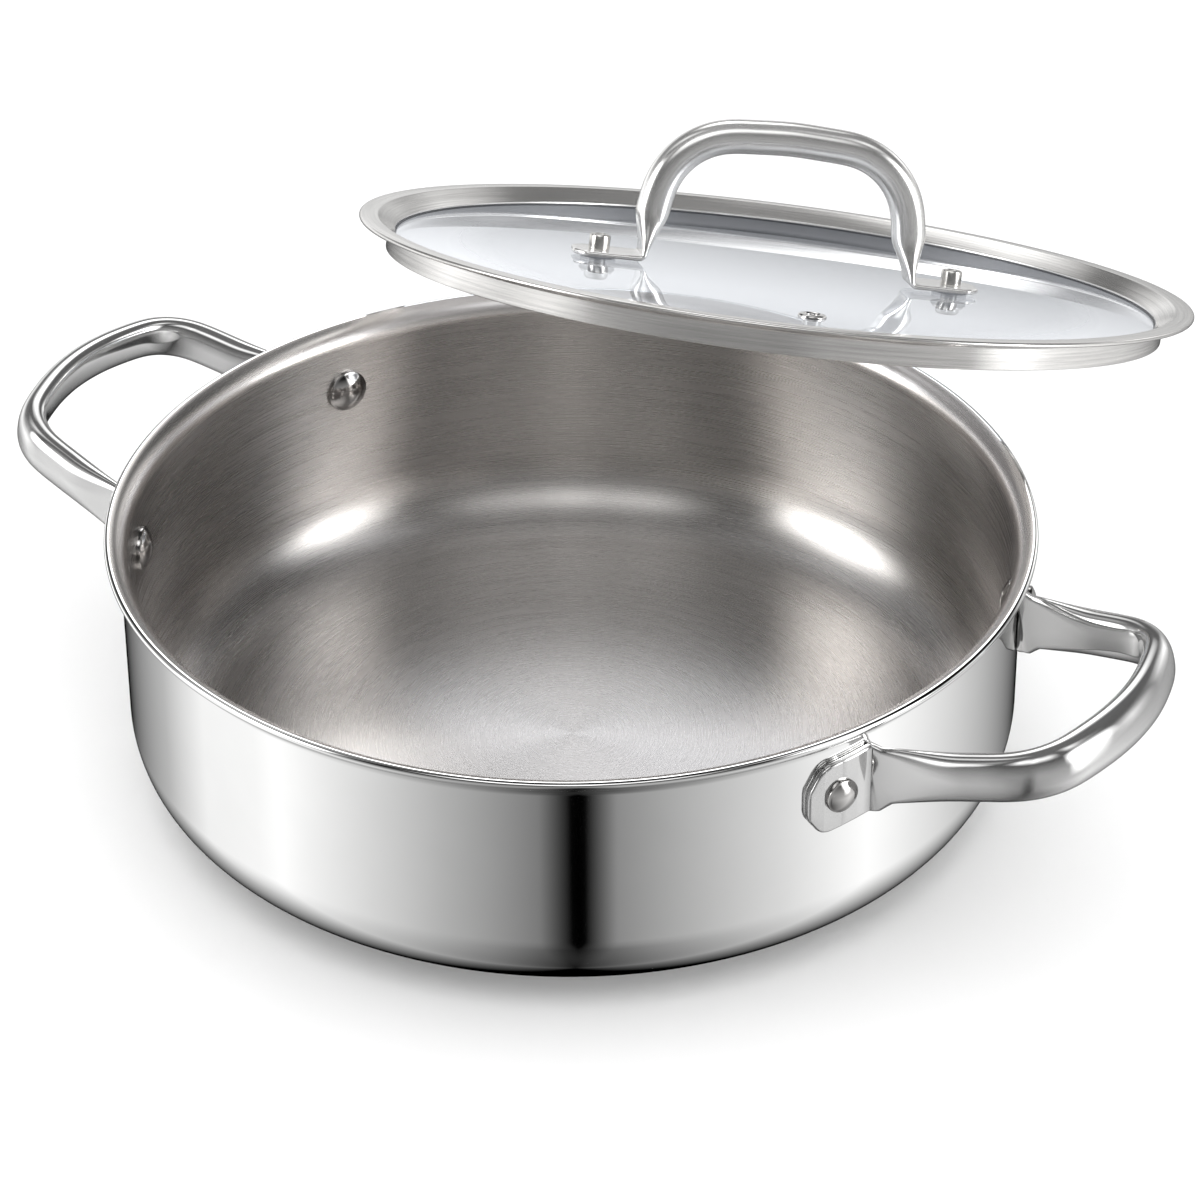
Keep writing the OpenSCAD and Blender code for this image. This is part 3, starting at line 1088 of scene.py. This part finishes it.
@dataclass
class Rivet:
    """A rivet through the wall and a lug, domed inside and with a button outside."""

    wall: PanWall
    height: float = 64.2
    spacing: float = 119.4
    shank_d: float = 5.0
    head_d: float = 14.6
    head_h: float = 4.0
    button_d: float = 11.0
    button_h: float = 2.8
    lug_t: float = 2.4
    head_edge: float = 1.1
    head_sunk: float = 0.35
    button_edge: float = 0.9
    button_sunk: float = 0.3
    soft: float = 0.45

    @property
    def angle(self) -> float:
        """The rivet's angle from the handle line, in degrees."""
        return math.degrees(math.asin(self.spacing / 2 / self.wall.outer_r))

    def cap(self, d: float, h: float, edge: float, sunk: float) -> list[Point]:
        """Half the section of a domed cap that stands up from zero.

        Args:
            d: Its diameter.
            h: Its height.
            edge: The height of its straight edge.
            sunk: How far it goes on below zero.

        Returns:
            Points from its top to its rim's underside.
        """
        rise = h - edge
        radius = (d * d / 4 + rise * rise) / (2 * rise)
        soft, steps = self.soft, 14
        rim = math.degrees(math.asin((d / 2 - soft) / radius))
        top = []
        for i in range(steps + 1):
            a = math.radians(rim * i / steps)
            top.append((radius * math.sin(a), h - radius + radius * math.cos(a)))
        low = top[-1][1]
        corner = []
        for turn in (45, 90):
            a = math.radians(turn)
            corner.append((d / 2 - soft * (1 - math.sin(a)), low - soft * (1 - math.cos(a))))
        return top + corner + [(d / 2, -sunk)]

    def build(self, shop: Shop, side: Side, end: End, steel: bpy.types.Material) -> None:
        """Makes one rivet.

        Args:
            shop: Takes the finished piece.
            side: The handle that it holds.
            end: The handle's end that it holds.
            steel: Its material.
        """
        reach = self.wall.wall_t + self.lug_t
        head = self.cap(self.head_d, self.head_h, self.head_edge, self.head_sunk)
        button = self.cap(self.button_d, self.button_h, self.button_edge, self.button_sunk)
        inner = [(r, -z) for r, z in head]
        outer = [(r, reach + z) for r, z in button][::-1]
        half = self.shank_d / 2
        shank = [(half, self.head_sunk), (half, reach - self.button_sunk)]
        facing = 0 if side is Side.RIGHT else 180
        pose = (
            Matrix.Rotation(math.radians(facing + side.value * end.value * self.angle), 4, "Z")
            @ Matrix.Translation((self.wall.inner_r, 0, self.height))
            @ Matrix.Rotation(math.radians(90), 4, "Y")
        )
        name = f"{side.name.lower()}_{end.name.lower()}_rivet"
        piece = Lathe(inner + shank + outer, segments=64, crease=34).build(name + "_turned", pose)
        shop.fit(piece, steel, name, "pan")


@dataclass
class LoopHandle:
    """A loop of pressed tube whose flattened ends are riveted to the wall.

    Towards its tip a lug thins to tip_share of the plate, and with that it gets lower, by tip_cut
    for a whole thickness.
    """

    wall: PanWall
    rivet: Rivet
    reach: float = 56.6
    rise: float = 14.1
    shoulder: float = 40.8
    bow: float = 11.0
    shoulder_r: float = 20.0
    bar_r: float = 80.0
    tube_h: float = 15.2
    tube_w: float = 9.6
    plate_t: float = 2.4
    lug_h: float = 24.4
    tip_h: float = 9.0
    lug_rise: float = 2.2
    chamfer: float = 5.0
    pinch: float = 30.0
    neck_len: float = 6.0
    root_len: float = 11.8
    end_len: float = 11.2
    tip_r: float = 3.4
    chamfer_r: float = 6.5
    tip_share: float = 0.55
    tip_cut: float = 1.2
    drawing: Drawing = Drawing(relax=9.0, still=7.0, gap=1.8, kept=8.0)

    @property
    def lug_len(self) -> float:
        """The length of one lug."""
        return self.root_len + self.end_len

    @property
    def degrees(self) -> float:
        """The angle that one millimetre of the wall takes up."""
        return 180 / math.pi / self.wall.outer_r

    def line(self) -> list[Vector]:
        """The loop's middle line seen from above.

        Returns:
            Its points, from one lug's tip to the other's.
        """
        tip = self.rivet.angle + self.end_len * self.degrees
        root = self.rivet.angle - self.root_len * self.degrees
        steps = 4
        half_step = math.radians((tip - root) / steps / 2)
        radius = (self.wall.outer_r + self.plate_t / 2) / math.cos(half_step)
        lug = []
        for i in range(steps + 1):
            a = math.radians(mix(tip, root, i / steps))
            lug.append(Vector((radius * math.cos(a), radius * math.sin(a), 0)))
        out = self.wall.outer_r + self.reach
        half = lug + [Vector((out - self.bow, self.shoulder, 0))]
        other = [Vector((p.x, -p.y, 0)) for p in half][::-1]
        bends = [self.plate_t, self.shoulder_r, self.bar_r, self.shoulder_r, self.plate_t]
        ends = [0.0] + [1e-3] * (steps - 1)
        corners = half + [Vector((out, 0, 0))] + other
        return self.drawing.draw(corners, ends + bends + ends[::-1], self.lug_len)

    def tip_profile(self) -> list[Point]:
        """The lug's half height, with the chamfer's corners rounded.

        Returns:
            Pairs of a distance from the tip and a half height.
        """
        end, low, high = 3 * self.chamfer, self.tip_h / 2, self.lug_h / 2
        corners = [
            (0, 0, 0), (0, low, self.tip_r), (self.chamfer, high, self.chamfer_r),
            (end, high, 0), (end, 0, 0),
        ]
        return softened(corners, 8)[1:-1]

    def rings(self) -> list[list[Vector]]:
        """The tube's sections along the loop.

        Returns:
            One ring of points for each point of the line.
        """
        line = self.line()
        run, ways = running_lengths(line), smooth_headings(line)
        total = run[-1]
        lug_len = self.lug_len
        root = math.radians(self.rivet.angle - self.root_len * self.degrees)
        root_x = self.wall.outer_r * math.cos(root)
        slope = math.radians(self.rise)
        profile = self.tip_profile()
        rings = []
        for point, length, way in zip(line, run, ways):
            d = min(length, total - length)
            opened = ease((d - lug_len) / self.pinch)
            width = mix(self.plate_t, self.tube_w, opened)
            neck = self.tube_h + (math.pi / 2 - 1) * (self.tube_w - width)
            tall = mix(self.lug_h, neck, ease((d - lug_len) / self.neck_len))
            tall = min(tall, 2 * along_profile(profile, d))
            blunt = min(1.0, self.tip_share + d)
            out = max(0.0, point.x - root_x) if d >= lug_len else 0.0
            level = self.rivet.height + self.lug_rise * (min(d, lug_len) - self.end_len) / lug_len
            lean = math.sin(slope) * ease(out / self.plate_t) if d >= lug_len else 0.0
            up = Vector((-lean, 0, 1)).normalized()
            side = Vector((way.y, -way.x, 0)).normalized()
            centre = Vector((point.x, point.y, level + out * math.tan(slope)))
            section = tube_section(tall - (1 - blunt) * self.tip_cut, width * blunt, opened)
            rings.append([centre + up * x + side * y for x, y in section])
        return rings

    def build(self, shop: Shop, side: Side, steel: bpy.types.Material) -> None:
        """Makes the handle of one side.

        Args:
            shop: Takes the finished piece.
            side: The pan's side.
            steel: Its material.
        """
        pose = Matrix.Rotation(math.pi if side is Side.LEFT else 0.0, 4, "Z")
        name = f"{side.name.lower()}_handle"
        piece = Sweep(self.rings()).build(name + "_tube", pose)
        shop.fit(piece, steel, name, "pan")


@dataclass
class LidPose:
    """How the lid is held: its middle, its tilt and the turn of its handle."""

    across: float = -33.5
    behind: float = 190.0
    height: float = 80.3
    tilt: float = 21.3
    fall: float = 102.0
    turn: float = 36.5

    def matrix(self) -> Matrix:
        """The pose as a matrix.

        Returns:
            The matrix, in millimetres.
        """
        fall = math.radians(self.fall)
        hinge = Vector((-math.sin(fall), math.cos(fall), 0))
        return (
            Matrix.Translation((self.across, self.behind, self.height))
            @ Matrix.Rotation(math.radians(self.tilt), 4, hinge)
            @ Matrix.Rotation(math.radians(self.turn), 4, "Z")
        )


@dataclass
class LidDisc:
    """The glass, its steel rim, the gasket between them and the vent."""

    wall: PanWall
    pose: Matrix
    flange_r: float = 147.0
    crease_r: float = 140.5
    slope_h: float = 4.6
    lip_over: float = 2.6
    skirt_h: float = 11.2
    skirt_gap: float = 3.4
    strip_t: float = 0.8
    glass_t: float = 3.5
    gasket_t: float = 0.5
    vent_at: float = 87.0
    vent_d: float = 9.7
    vent_bore: float = 4.6
    segments: int = 320

    @property
    def skirt_r(self) -> float:
        """The skirt's outside radius."""
        return self.wall.inner_r - self.skirt_gap

    @property
    def glass_top(self) -> float:
        """The height of the glass's upper face."""
        return -self.slope_h - self.strip_t - self.gasket_t

    @property
    def glass_bottom(self) -> float:
        """The height of the glass's lower face."""
        return self.glass_top - self.glass_t

    def rim_outline(self) -> list[Point]:
        """The rim's section: hemmed flange, slope, lip, and skirt with its ledge.

        Returns:
            Its outline.
        """
        lip_in = self.skirt_r - self.lip_over
        pocket = self.skirt_r - self.strip_t
        hem = 2 * self.strip_t
        hem_r = self.strip_t * 0.98
        ledge = self.glass_bottom - self.gasket_t
        slope = Vector((self.crease_r - lip_in, self.slope_h))
        under = Vector((slope.y, -slope.x)).normalized() * self.strip_t
        crease_in = (hem + under.y) / slope.y * slope.x + under.x
        skirt_top = -self.slope_h + (self.skirt_r - lip_in - under.x) / slope.x * slope.y + under.y
        return softened(
            [
                (lip_in, -self.slope_h, 0.3),
                (self.crease_r, 0.0, 0.6),
                (self.flange_r, 0.0, hem_r),
                (self.flange_r, -hem, hem_r),
                (self.crease_r + crease_in - self.strip_t / 2, -hem, 0.2),
                (self.skirt_r, skirt_top, 0.4),
                (self.skirt_r, -self.skirt_h, 0.35),
                (pocket + self.strip_t / 4, -self.skirt_h, 0.0),
                (pocket - self.strip_t / 4, ledge - self.strip_t / 2, 0.0),
                (lip_in, ledge - self.strip_t / 2, 0.15),
                (lip_in, ledge, 0.15),
                (pocket, ledge, 0.0),
                (pocket, -self.slope_h - self.strip_t, 0.0),
                (lip_in, -self.slope_h - self.strip_t, 0.3),
            ],
            6,
        )

    def gasket_outline(self) -> list[Point]:
        """The gasket's section: a channel around the glass's edge.

        Returns:
            Its outline.
        """
        pocket = self.skirt_r - self.strip_t
        glass = pocket - self.gasket_t
        grip = self.skirt_r - self.lip_over - 0.5
        top, bottom = self.glass_top + self.gasket_t, self.glass_bottom - self.gasket_t
        return softened(
            [
                (grip, top, 0.15), (pocket, top, 0), (pocket, bottom, 0), (grip, bottom, 0.15),
                (grip, self.glass_bottom, 0), (glass, self.glass_bottom, 0),
                (glass, self.glass_top, 0), (grip, self.glass_top, 0),
            ]
        )

    def glass_outline(self) -> list[Point]:
        """Half the section of the glass, with its edge ground round.

        Returns:
            Its points, from the upper face's middle to the lower one's.
        """
        radius = self.skirt_r - self.strip_t - self.gasket_t
        seam = 0.5
        upper = arc((radius - seam, self.glass_top - seam), seam, 90, 0, 4)
        lower = arc((radius - seam, self.glass_bottom + seam), seam, 0, -90, 4)
        return [(0.0, self.glass_top)] + upper + lower + [(0.0, self.glass_bottom)]

    def vent_outline(self) -> list[Point]:
        """The eyelet's section: a rolled top flange, a tube and a spread foot.

        Returns:
            Its outline.
        """
        bore = self.vent_bore / 2
        tube = bore + self.strip_t
        outer = self.vent_d / 2
        roll = self.glass_top + self.strip_t * 0.55
        return (
            [(bore, self.glass_bottom - self.strip_t)]
            + [(outer - self.strip_t, self.glass_bottom - self.strip_t)]
            + [(outer - self.strip_t, self.glass_bottom), (tube, self.glass_bottom)]
            + [(tube, self.glass_top), (outer, self.glass_top)]
            + arc((outer - self.strip_t, roll), self.strip_t, 0, 90, 6)
            + arc((tube + 0.2, roll), self.strip_t + 0.2, 90, 180, 6)
        )

    def build(
        self,
        shop: Shop,
        glass: bpy.types.Material,
        rim: bpy.types.Material,
        rubber: bpy.types.Material,
        eyelet: bpy.types.Material,
    ) -> None:
        """Makes the four pieces.

        Args:
            shop: Takes the finished pieces.
            glass: The disc's material.
            rim: The rim's material.
            rubber: The gasket's material.
            eyelet: The vent's material.
        """
        piece = Lathe(self.glass_outline(), self.segments).build("glass_disc", self.pose)
        shop.fit(piece, glass, "lid_glass", "lid")
        piece = Lathe(self.rim_outline(), self.segments, crease=30).build("rim_strip", self.pose)
        shop.fit(piece, rim, "lid_rim", "lid")
        piece = Lathe(self.gasket_outline(), self.segments).build("glass_gasket", self.pose)
        shop.fit(piece, rubber, "rim_gasket", "lid")
        place = self.pose @ Matrix.Translation((0, -self.vent_at, 0))
        piece = Lathe(self.vent_outline(), segments=64).build("vent_eyelet", place)
        shop.fit(piece, eyelet, "vent_grommet", "lid")


@dataclass
class LidGrip:
    """The lid's handle: a round tube whose ends are pressed into flat feet.

    Towards its tip a foot thins to tip_share of its thickness and tip_width of its width.
    """

    disc: LidDisc
    spacing: float = 125.6
    height: float = 54.0
    tube_d: float = 12.0
    lean: float = 6.0
    shoulder_r: float = 27.0
    crown: float = 2.4
    crown_r: float = 80.0
    foot_t: float = 1.8
    root_len: float = 15.0
    end_len: float = 9.2
    chamfer: float = 5.0
    pinch: float = 16.5
    pad_t: float = 1.0
    tip_share: float = 0.6
    tip_width: float = 0.5
    drawing: Drawing = Drawing(relax=8.0, still=5.0, gap=1.6, kept=6.0)

    @property
    def foot_z(self) -> float:
        """The height of the feet's middle."""
        return self.disc.glass_top + self.pad_t + self.foot_t / 2

    def line(self) -> list[Vector]:
        """The handle's middle line.

        Returns:
            Its points, from one foot's tip to the other's.
        """
        top = self.disc.glass_top + self.height - self.tube_d / 2
        half = [
            Vector((-self.spacing / 2 - self.end_len, 0, self.foot_z)),
            Vector((-self.spacing / 2 + self.root_len, 0, self.foot_z)),
            Vector((-self.spacing / 2 + self.root_len + self.lean, 0, top - self.crown)),
        ]
        other = [Vector((-p.x, 0, p.z)) for p in half][::-1]
        radii = [0, self.foot_t, self.shoulder_r, self.crown_r, self.shoulder_r, self.foot_t, 0]
        corners = half + [Vector((0, 0, top))] + other
        return self.drawing.draw(corners, radii, self.root_len + self.end_len)

    def rings(self) -> list[list[Vector]]:
        """The tube's sections along the handle.

        Returns:
            One ring of points for each point of the line.
        """
        line = self.line()
        run, ways = running_lengths(line), smooth_headings(line)
        foot_w = 2 * (self.foot_t / 2 + math.pi / 2 * (self.tube_d / 2 - self.foot_t / 2))
        rings = []
        for point, length, way in zip(line, run, ways):
            d = min(length, run[-1] - length)
            opened = ease((d - self.root_len - self.end_len) / self.pinch)
            width = mix(self.foot_t, self.tube_d, opened)
            rounded = math.sin(math.pi / 2 * min(1.0, d / self.chamfer))
            tip = mix(foot_w * self.tip_width, foot_w, rounded)
            tall = min(mix(foot_w, self.tube_d, opened), tip)
            blunt = min(1.0, self.tip_share + d)
            side = Vector((way.z, 0, -way.x)).normalized()
            section = tube_section(tall, width * blunt, opened)
            rings.append([point + Vector((0, -x, 0)) + side * y for x, y in section])
        return rings

    def build(self, shop: Shop, steel: bpy.types.Material) -> None:
        """Makes the handle.

        Args:
            shop: Takes the finished piece.
            steel: Its material.
        """
        piece = Sweep(self.rings()).build("grip_tube", self.disc.pose)
        shop.fit(piece, steel, "lid_handle", "lid")


@dataclass
class GripBolt:
    """What holds one foot of the lid's handle: nut, screw, pads and washer.

    The nut's bore ends nut_cap under its top, and the screw ends screw_short under it.
    """

    grip: LidGrip
    nut_d: float = 7.4
    nut_h: float = 5.2
    neck_d: float = 5.6
    screw_d: float = 4.0
    head_d: float = 8.4
    head_h: float = 2.4
    pad_d: float = 12.4
    washer_t: float = 0.8
    washer_in: float = 1.6
    clearance: float = 0.1
    nut_cap: float = 1.4
    head_r: float = 1.4
    screw_short: float = 2.0
    screw_bevel: float = 0.4

    @property
    def foot_top(self) -> float:
        """The height of the foot's upper face."""
        return self.grip.foot_z + self.grip.foot_t / 2

    def nut_outline(self) -> list[Point]:
        """Half the section of the barrel nut, down to the end of its neck.

        Returns:
            Its points, from the top's middle to the bore's.
        """
        top = self.foot_top + self.nut_h
        bottom = self.grip.disc.glass_bottom
        edge = self.nut_d / 2
        return [
            (0.0, top - 0.15), (edge - 1.9, top - 0.15), (edge - 1.7, top), (edge - 0.75, top),
            (edge - 0.22, top - 0.22), (edge, top - 0.75), (edge, self.foot_top + 0.25),
            (edge - 0.25, self.foot_top), (self.neck_d / 2, self.foot_top),
            (self.neck_d / 2, bottom), (self.screw_d / 2, bottom),
            (self.screw_d / 2, top - self.nut_cap), (0.0, top - self.nut_cap),
        ]

    def screw_outline(self) -> list[Point]:
        """Half the section of the pan head screw.

        Returns:
            Its points, from its end to its head.
        """
        under = self.grip.disc.glass_bottom - self.grip.pad_t - self.washer_t
        top = self.foot_top + self.nut_h - self.screw_short
        edge, shank, bevel = self.head_d / 2, self.screw_d / 2, self.screw_bevel
        round_at = (edge - self.head_r, under - self.head_h + self.head_r)
        return (
            [(0.0, top), (shank - bevel, top), (shank, top - bevel), (shank, under), (edge, under)]
            + arc(round_at, self.head_r, 0, -90, 8)
            + [(0.0, under - self.head_h)]
        )

    def ring_outline(self, layer: Layer) -> list[Point]:
        """The section of one of the flat rings.

        Args:
            layer: Which ring.

        Returns:
            Its outline.
        """
        disc, pad = self.grip.disc, self.grip.pad_t
        tight, loose = self.screw_d + 2 * self.clearance, self.neck_d + 2 * self.clearance
        under, flat = disc.glass_bottom - pad, self.washer_t
        low, thick, bore, outer = {
            Layer.UPPER_PAD: (disc.glass_top, pad, loose, self.pad_d),
            Layer.LOWER_PAD: (under, pad, tight, self.pad_d),
            Layer.WASHER: (under - flat, flat, tight, self.pad_d - self.washer_in),
        }[layer]
        soft = thick * 0.25
        return softened(
            [
                (bore / 2, low, 0), (outer / 2, low, soft),
                (outer / 2, low + thick, soft), (bore / 2, low + thick, 0),
            ]
        )

    def build(
        self,
        shop: Shop,
        side: Side,
        nut: bpy.types.Material,
        screw: bpy.types.Material,
        pad: bpy.types.Material,
    ) -> None:
        """Makes the five pieces of one side.

        Args:
            shop: Takes the finished pieces.
            side: The foot that they hold.
            nut: The nut's material.
            screw: The screw's and the washer's material.
            pad: The soft pads' material.
        """
        place = self.grip.disc.pose @ Matrix.Translation((side.value * self.grip.spacing / 2, 0, 0))
        name = side.name.lower()
        turned = Lathe(self.nut_outline(), segments=64, crease=30)
        piece = turned.build(f"{name}_nut_turned", place)
        shop.fit(piece, nut, f"{name}_barrel_nut", "lid")
        turned = Lathe(self.screw_outline(), segments=48, crease=30)
        piece = turned.build(f"{name}_screw_turned", place)
        shop.fit(piece, screw, f"{name}_screw", "lid")
        for layer in Layer:
            ring = Lathe(self.ring_outline(layer), segments=64)
            piece = ring.build(f"{name}_{layer.value}_ring", place)
            metal = layer is Layer.WASHER
            material, slot = (screw, "screw_steel") if metal else (pad, "pad_rubber")
            shop.fit(piece, material, f"{name}_{layer.value}", "lid")


@dataclass(frozen=True)
class SoftBox:
    """A soft light that only the polished surfaces mirror, brightest in its middle.

    The bearing is counted from the camera, and both angles are in degrees.
    """

    bearing: float
    height: float
    half_width: float
    half_height: float
    level: float

    def glow(self, s: ShaderTree, bearing: object, height: object) -> bpy.types.NodeSocket:
        """The light that comes from a direction.

        Args:
            s: The world's tree.
            bearing: The direction's angle around the pan.
            height: Its angle above the horizon.

        Returns:
            The level.
        """
        glow = s.math("MULTIPLY", s.near(height, self.height, self.half_height), self.level)
        return s.math("MULTIPLY", glow, s.near(bearing, self.bearing, self.half_width))


@dataclass
class Studio:
    """Camera, floor, light and the surroundings that the polished steel mirrors."""

    eye: tuple[float, float, float] = (0.6277, -0.9973, 0.8252)
    target: tuple[float, float, float] = (0.00762, 0.00471, 0.05442)
    roll: float = -0.277
    lens: float = 132.0
    facing: float = -57.82
    overhead: float = 3.9
    overhead_power: float = 3.0
    floor_half: float = 12.0
    floor_drop: float = 0.0002
    floor_white: float = 0.93

    def camera(self) -> None:
        """Sets the camera at the photograph's angle."""
        data = bpy.data.cameras.new("camera")
        data.lens = self.lens
        data.sensor_width = 36.0
        data.clip_start, data.clip_end = 0.05, 50.0
        camera = bpy.data.objects.new("camera", data)
        way = Vector(self.target) - Vector(self.eye)
        turn = way.to_track_quat("-Z", "Y").to_matrix().to_4x4()
        camera.matrix_world = (
            Matrix.Translation(self.eye) @ turn @ Matrix.Rotation(math.radians(self.roll), 4, "Z")
        )
        bpy.context.scene.collection.objects.link(camera)
        bpy.context.scene.camera = camera

    def floor(self) -> None:
        """Lays a plain pale floor."""
        bm = bmesh.new()
        bmesh.ops.create_grid(bm, x_segments=1, y_segments=1, size=self.floor_half)
        bmesh.ops.translate(bm, verts=bm.verts, vec=(0, 0, -self.floor_drop))
        mesh = bpy.data.meshes.new("floor")
        bm.to_mesh(mesh)
        bm.free()
        floor = bpy.data.objects.new("floor", mesh)
        bpy.context.scene.collection.objects.link(floor)
        s = ShaderTree.material("pale_floor")
        paint = s.add("ShaderNodeBsdfDiffuse")
        paint.inputs["Color"].default_value = (*[self.floor_white] * 3, 1.0)
        mesh.materials.append(s.surface(paint.outputs[0]))
        floor.visible_glossy = False

    def surroundings(self) -> None:
        """Paints the world: an overhead light for what is matt, and soft boxes for the mirrors."""
        world = bpy.data.worlds.new("studio")
        bpy.context.scene.world = world
        s = ShaderTree(world)
        turned = s.add("ShaderNodeMapping")
        turned.inputs["Rotation"].default_value = (0, 0, math.radians(-self.facing))
        s.join(s.add("ShaderNodeTexCoord").outputs["Generated"], turned.inputs["Vector"])
        parts = s.add("ShaderNodeSeparateXYZ")
        s.join(turned.outputs["Vector"], parts.inputs[0])
        x, y, z = parts.outputs
        bearing = s.math("DEGREES", s.math("ARCTAN2", y, x))
        rise = s.math("MAXIMUM", -1.0, s.math("MINIMUM", 1.0, z))
        height = s.math("DEGREES", s.math("ARCSINE", rise))
        boxes: object = 0.0
        for box in SOFT_BOXES:
            boxes = s.math("ADD", boxes, box.glow(s, bearing, height))
        for flag in FLAGS:
            left = s.math("SUBTRACT", 1.0, flag.glow(s, bearing, height))
            boxes = s.math("MULTIPLY", boxes, s.math("MAXIMUM", 0.0, left))
        fall = s.math("POWER", s.math("MAXIMUM", z, 0.0), self.overhead_power)
        overhead = s.math("MULTIPLY", fall, self.overhead)
        rays = s.add("ShaderNodeLightPath")
        level = s.blend(rays.outputs["Is Glossy Ray"], overhead, boxes)
        light = s.add("ShaderNodeBackground")
        s.join(level, light.inputs["Strength"])
        out = s.add("ShaderNodeOutputWorld")
        s.join(light.outputs[0], out.inputs["Surface"])

    def colours(self) -> None:
        """Keeps white as white."""
        bpy.context.scene.view_settings.view_transform = "Standard"
        bpy.context.scene.view_settings.look = "None"

    def build(self) -> None:
        """Sets up the studio."""
        self.camera()
        self.floor()
        self.surroundings()
        self.colours()


# The studio's lights as the photographed steel mirrors them
SOFT_BOXES = (
    SoftBox(-82, -30, 85, 62, 1.68),
    SoftBox(82, -30, 85, 62, 1.68),
    SoftBox(-140, -6, 70, 18, 1.54),
    SoftBox(-110, -6, 20, 45, 0.85),
    SoftBox(10, -6, 45, 45, 0.48),
    SoftBox(70, 8, 17, 28, 8.2),
    SoftBox(100, 8, 20, 18, 1.25),
    SoftBox(140, 8, 20, 18, 2.40),
    SoftBox(-80, 22, 24, 20, 16.0),
    SoftBox(-70, 22, 15, 45, 1.5),
    SoftBox(70, 22, 22, 20, 9.6),
    SoftBox(-180, 38, 26, 18, 6.6),
    SoftBox(-120, 56, 20, 28, 1.78),
    SoftBox(-30, 56, 20, 18, 2.98),
    SoftBox(0, 56, 30, 18, 3.71),
    SoftBox(30, 56, 20, 18, 2.25),
    SoftBox(80, 56, 20, 18, 2.46),
    SoftBox(178, -8, 60, 22, 0.62),
)

# A black cloth beside the camera, which takes light away
FLAGS = (SoftBox(1, -38, 10, 46, 1.25),)


def dress_core(node: bpy.types.Object) -> None:
    """Gives the hidden aluminium core its rolled finish.

    Args:
        node: The core's own object.
    """
    node.data.materials.clear()
    node.data.materials.append(RolledAluminium((0.80, 0.81, 0.82)).make("rolled_aluminium"))


def main() -> None:
    """Builds the pan, the lid and the studio."""
    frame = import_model()
    Studio().build()
    shop = Shop()

    wall = PanWall()
    pose = LidPose().matrix()
    lid_axis = Axis.of(pose)
    # Above 79.5 mm the lip is buffed to a satin and its colour painted paler, a painted sheen
    brushed = TurnedSteel(
        (0.535, 0.515, 0.50), roughness=0.275, stretch=0.9, depth=5e-6, satin_and_sheen_above=0.0795
    )
    inside = brushed.make("brushed_inside")
    outside = PolishedSteel((0.86, 0.86, 0.855), 0.05).make("polished_outside")
    wall.build(shop, inside, outside)
    dress_core(frame["nodes"]["aluminium_core"])

    rivet = Rivet(wall)
    rivet_steel = PolishedSteel((0.54, 0.53, 0.52), 0.08).make("rivet_steel")
    loop = LoopHandle(wall, rivet)
    loop_steel = PolishedSteel((0.62, 0.618, 0.615), 0.065, share=0.84).make("loop_steel")
    for side in Side:
        loop.build(shop, side, loop_steel)
        for end in End:
            rivet.build(shop, side, end, rivet_steel)

    disc = LidDisc(wall, pose)
    glass = ClearGlass((0.83, 0.842, 0.862), lid_axis.place).make("clear_glass")
    rolled = TurnedSteel(
        (0.72, 0.71, 0.695), roughness=0.15, stretch=0.3, line=0.9, depth=1.5e-6,
        axis=lid_axis, share=0.78, streaks=0.28,
    )
    rim = rolled.make("rim_steel")
    gasket = SoftRubber((0.03, 0.033, 0.04), 0.4).make("gasket_rubber")
    small_steel = PolishedSteel((0.72, 0.71, 0.70), 0.12).make("small_steel")
    disc.build(shop, glass, rim, gasket, small_steel)

    grip = LidGrip(disc)
    grip.build(shop, SatinTube((0.84, 0.835, 0.825), 0.18, share=0.78).make("grip_steel"))
    bolt = GripBolt(grip)
    pad = SoftRubber((0.20, 0.21, 0.23)).make("soft_pad")
    for side in Side:
        place = pose @ Matrix.Translation((side.value * grip.spacing / 2, 0, 0))
        turned = TurnedSteel(
            (0.66, 0.65, 0.63), roughness=0.24, stretch=0.5, line=0.3, depth=2e-6,
            axis=Axis.of(place),
        )
        nut = turned.make(f"{side.name.lower()}_nut_steel")
        bolt.build(shop, side, nut, small_steel, pad)

    log.info("%d pieces made", len(shop.made))


if __name__ == "__main__":
    logging.basicConfig(level=logging.INFO, format="%(message)s")
    main()
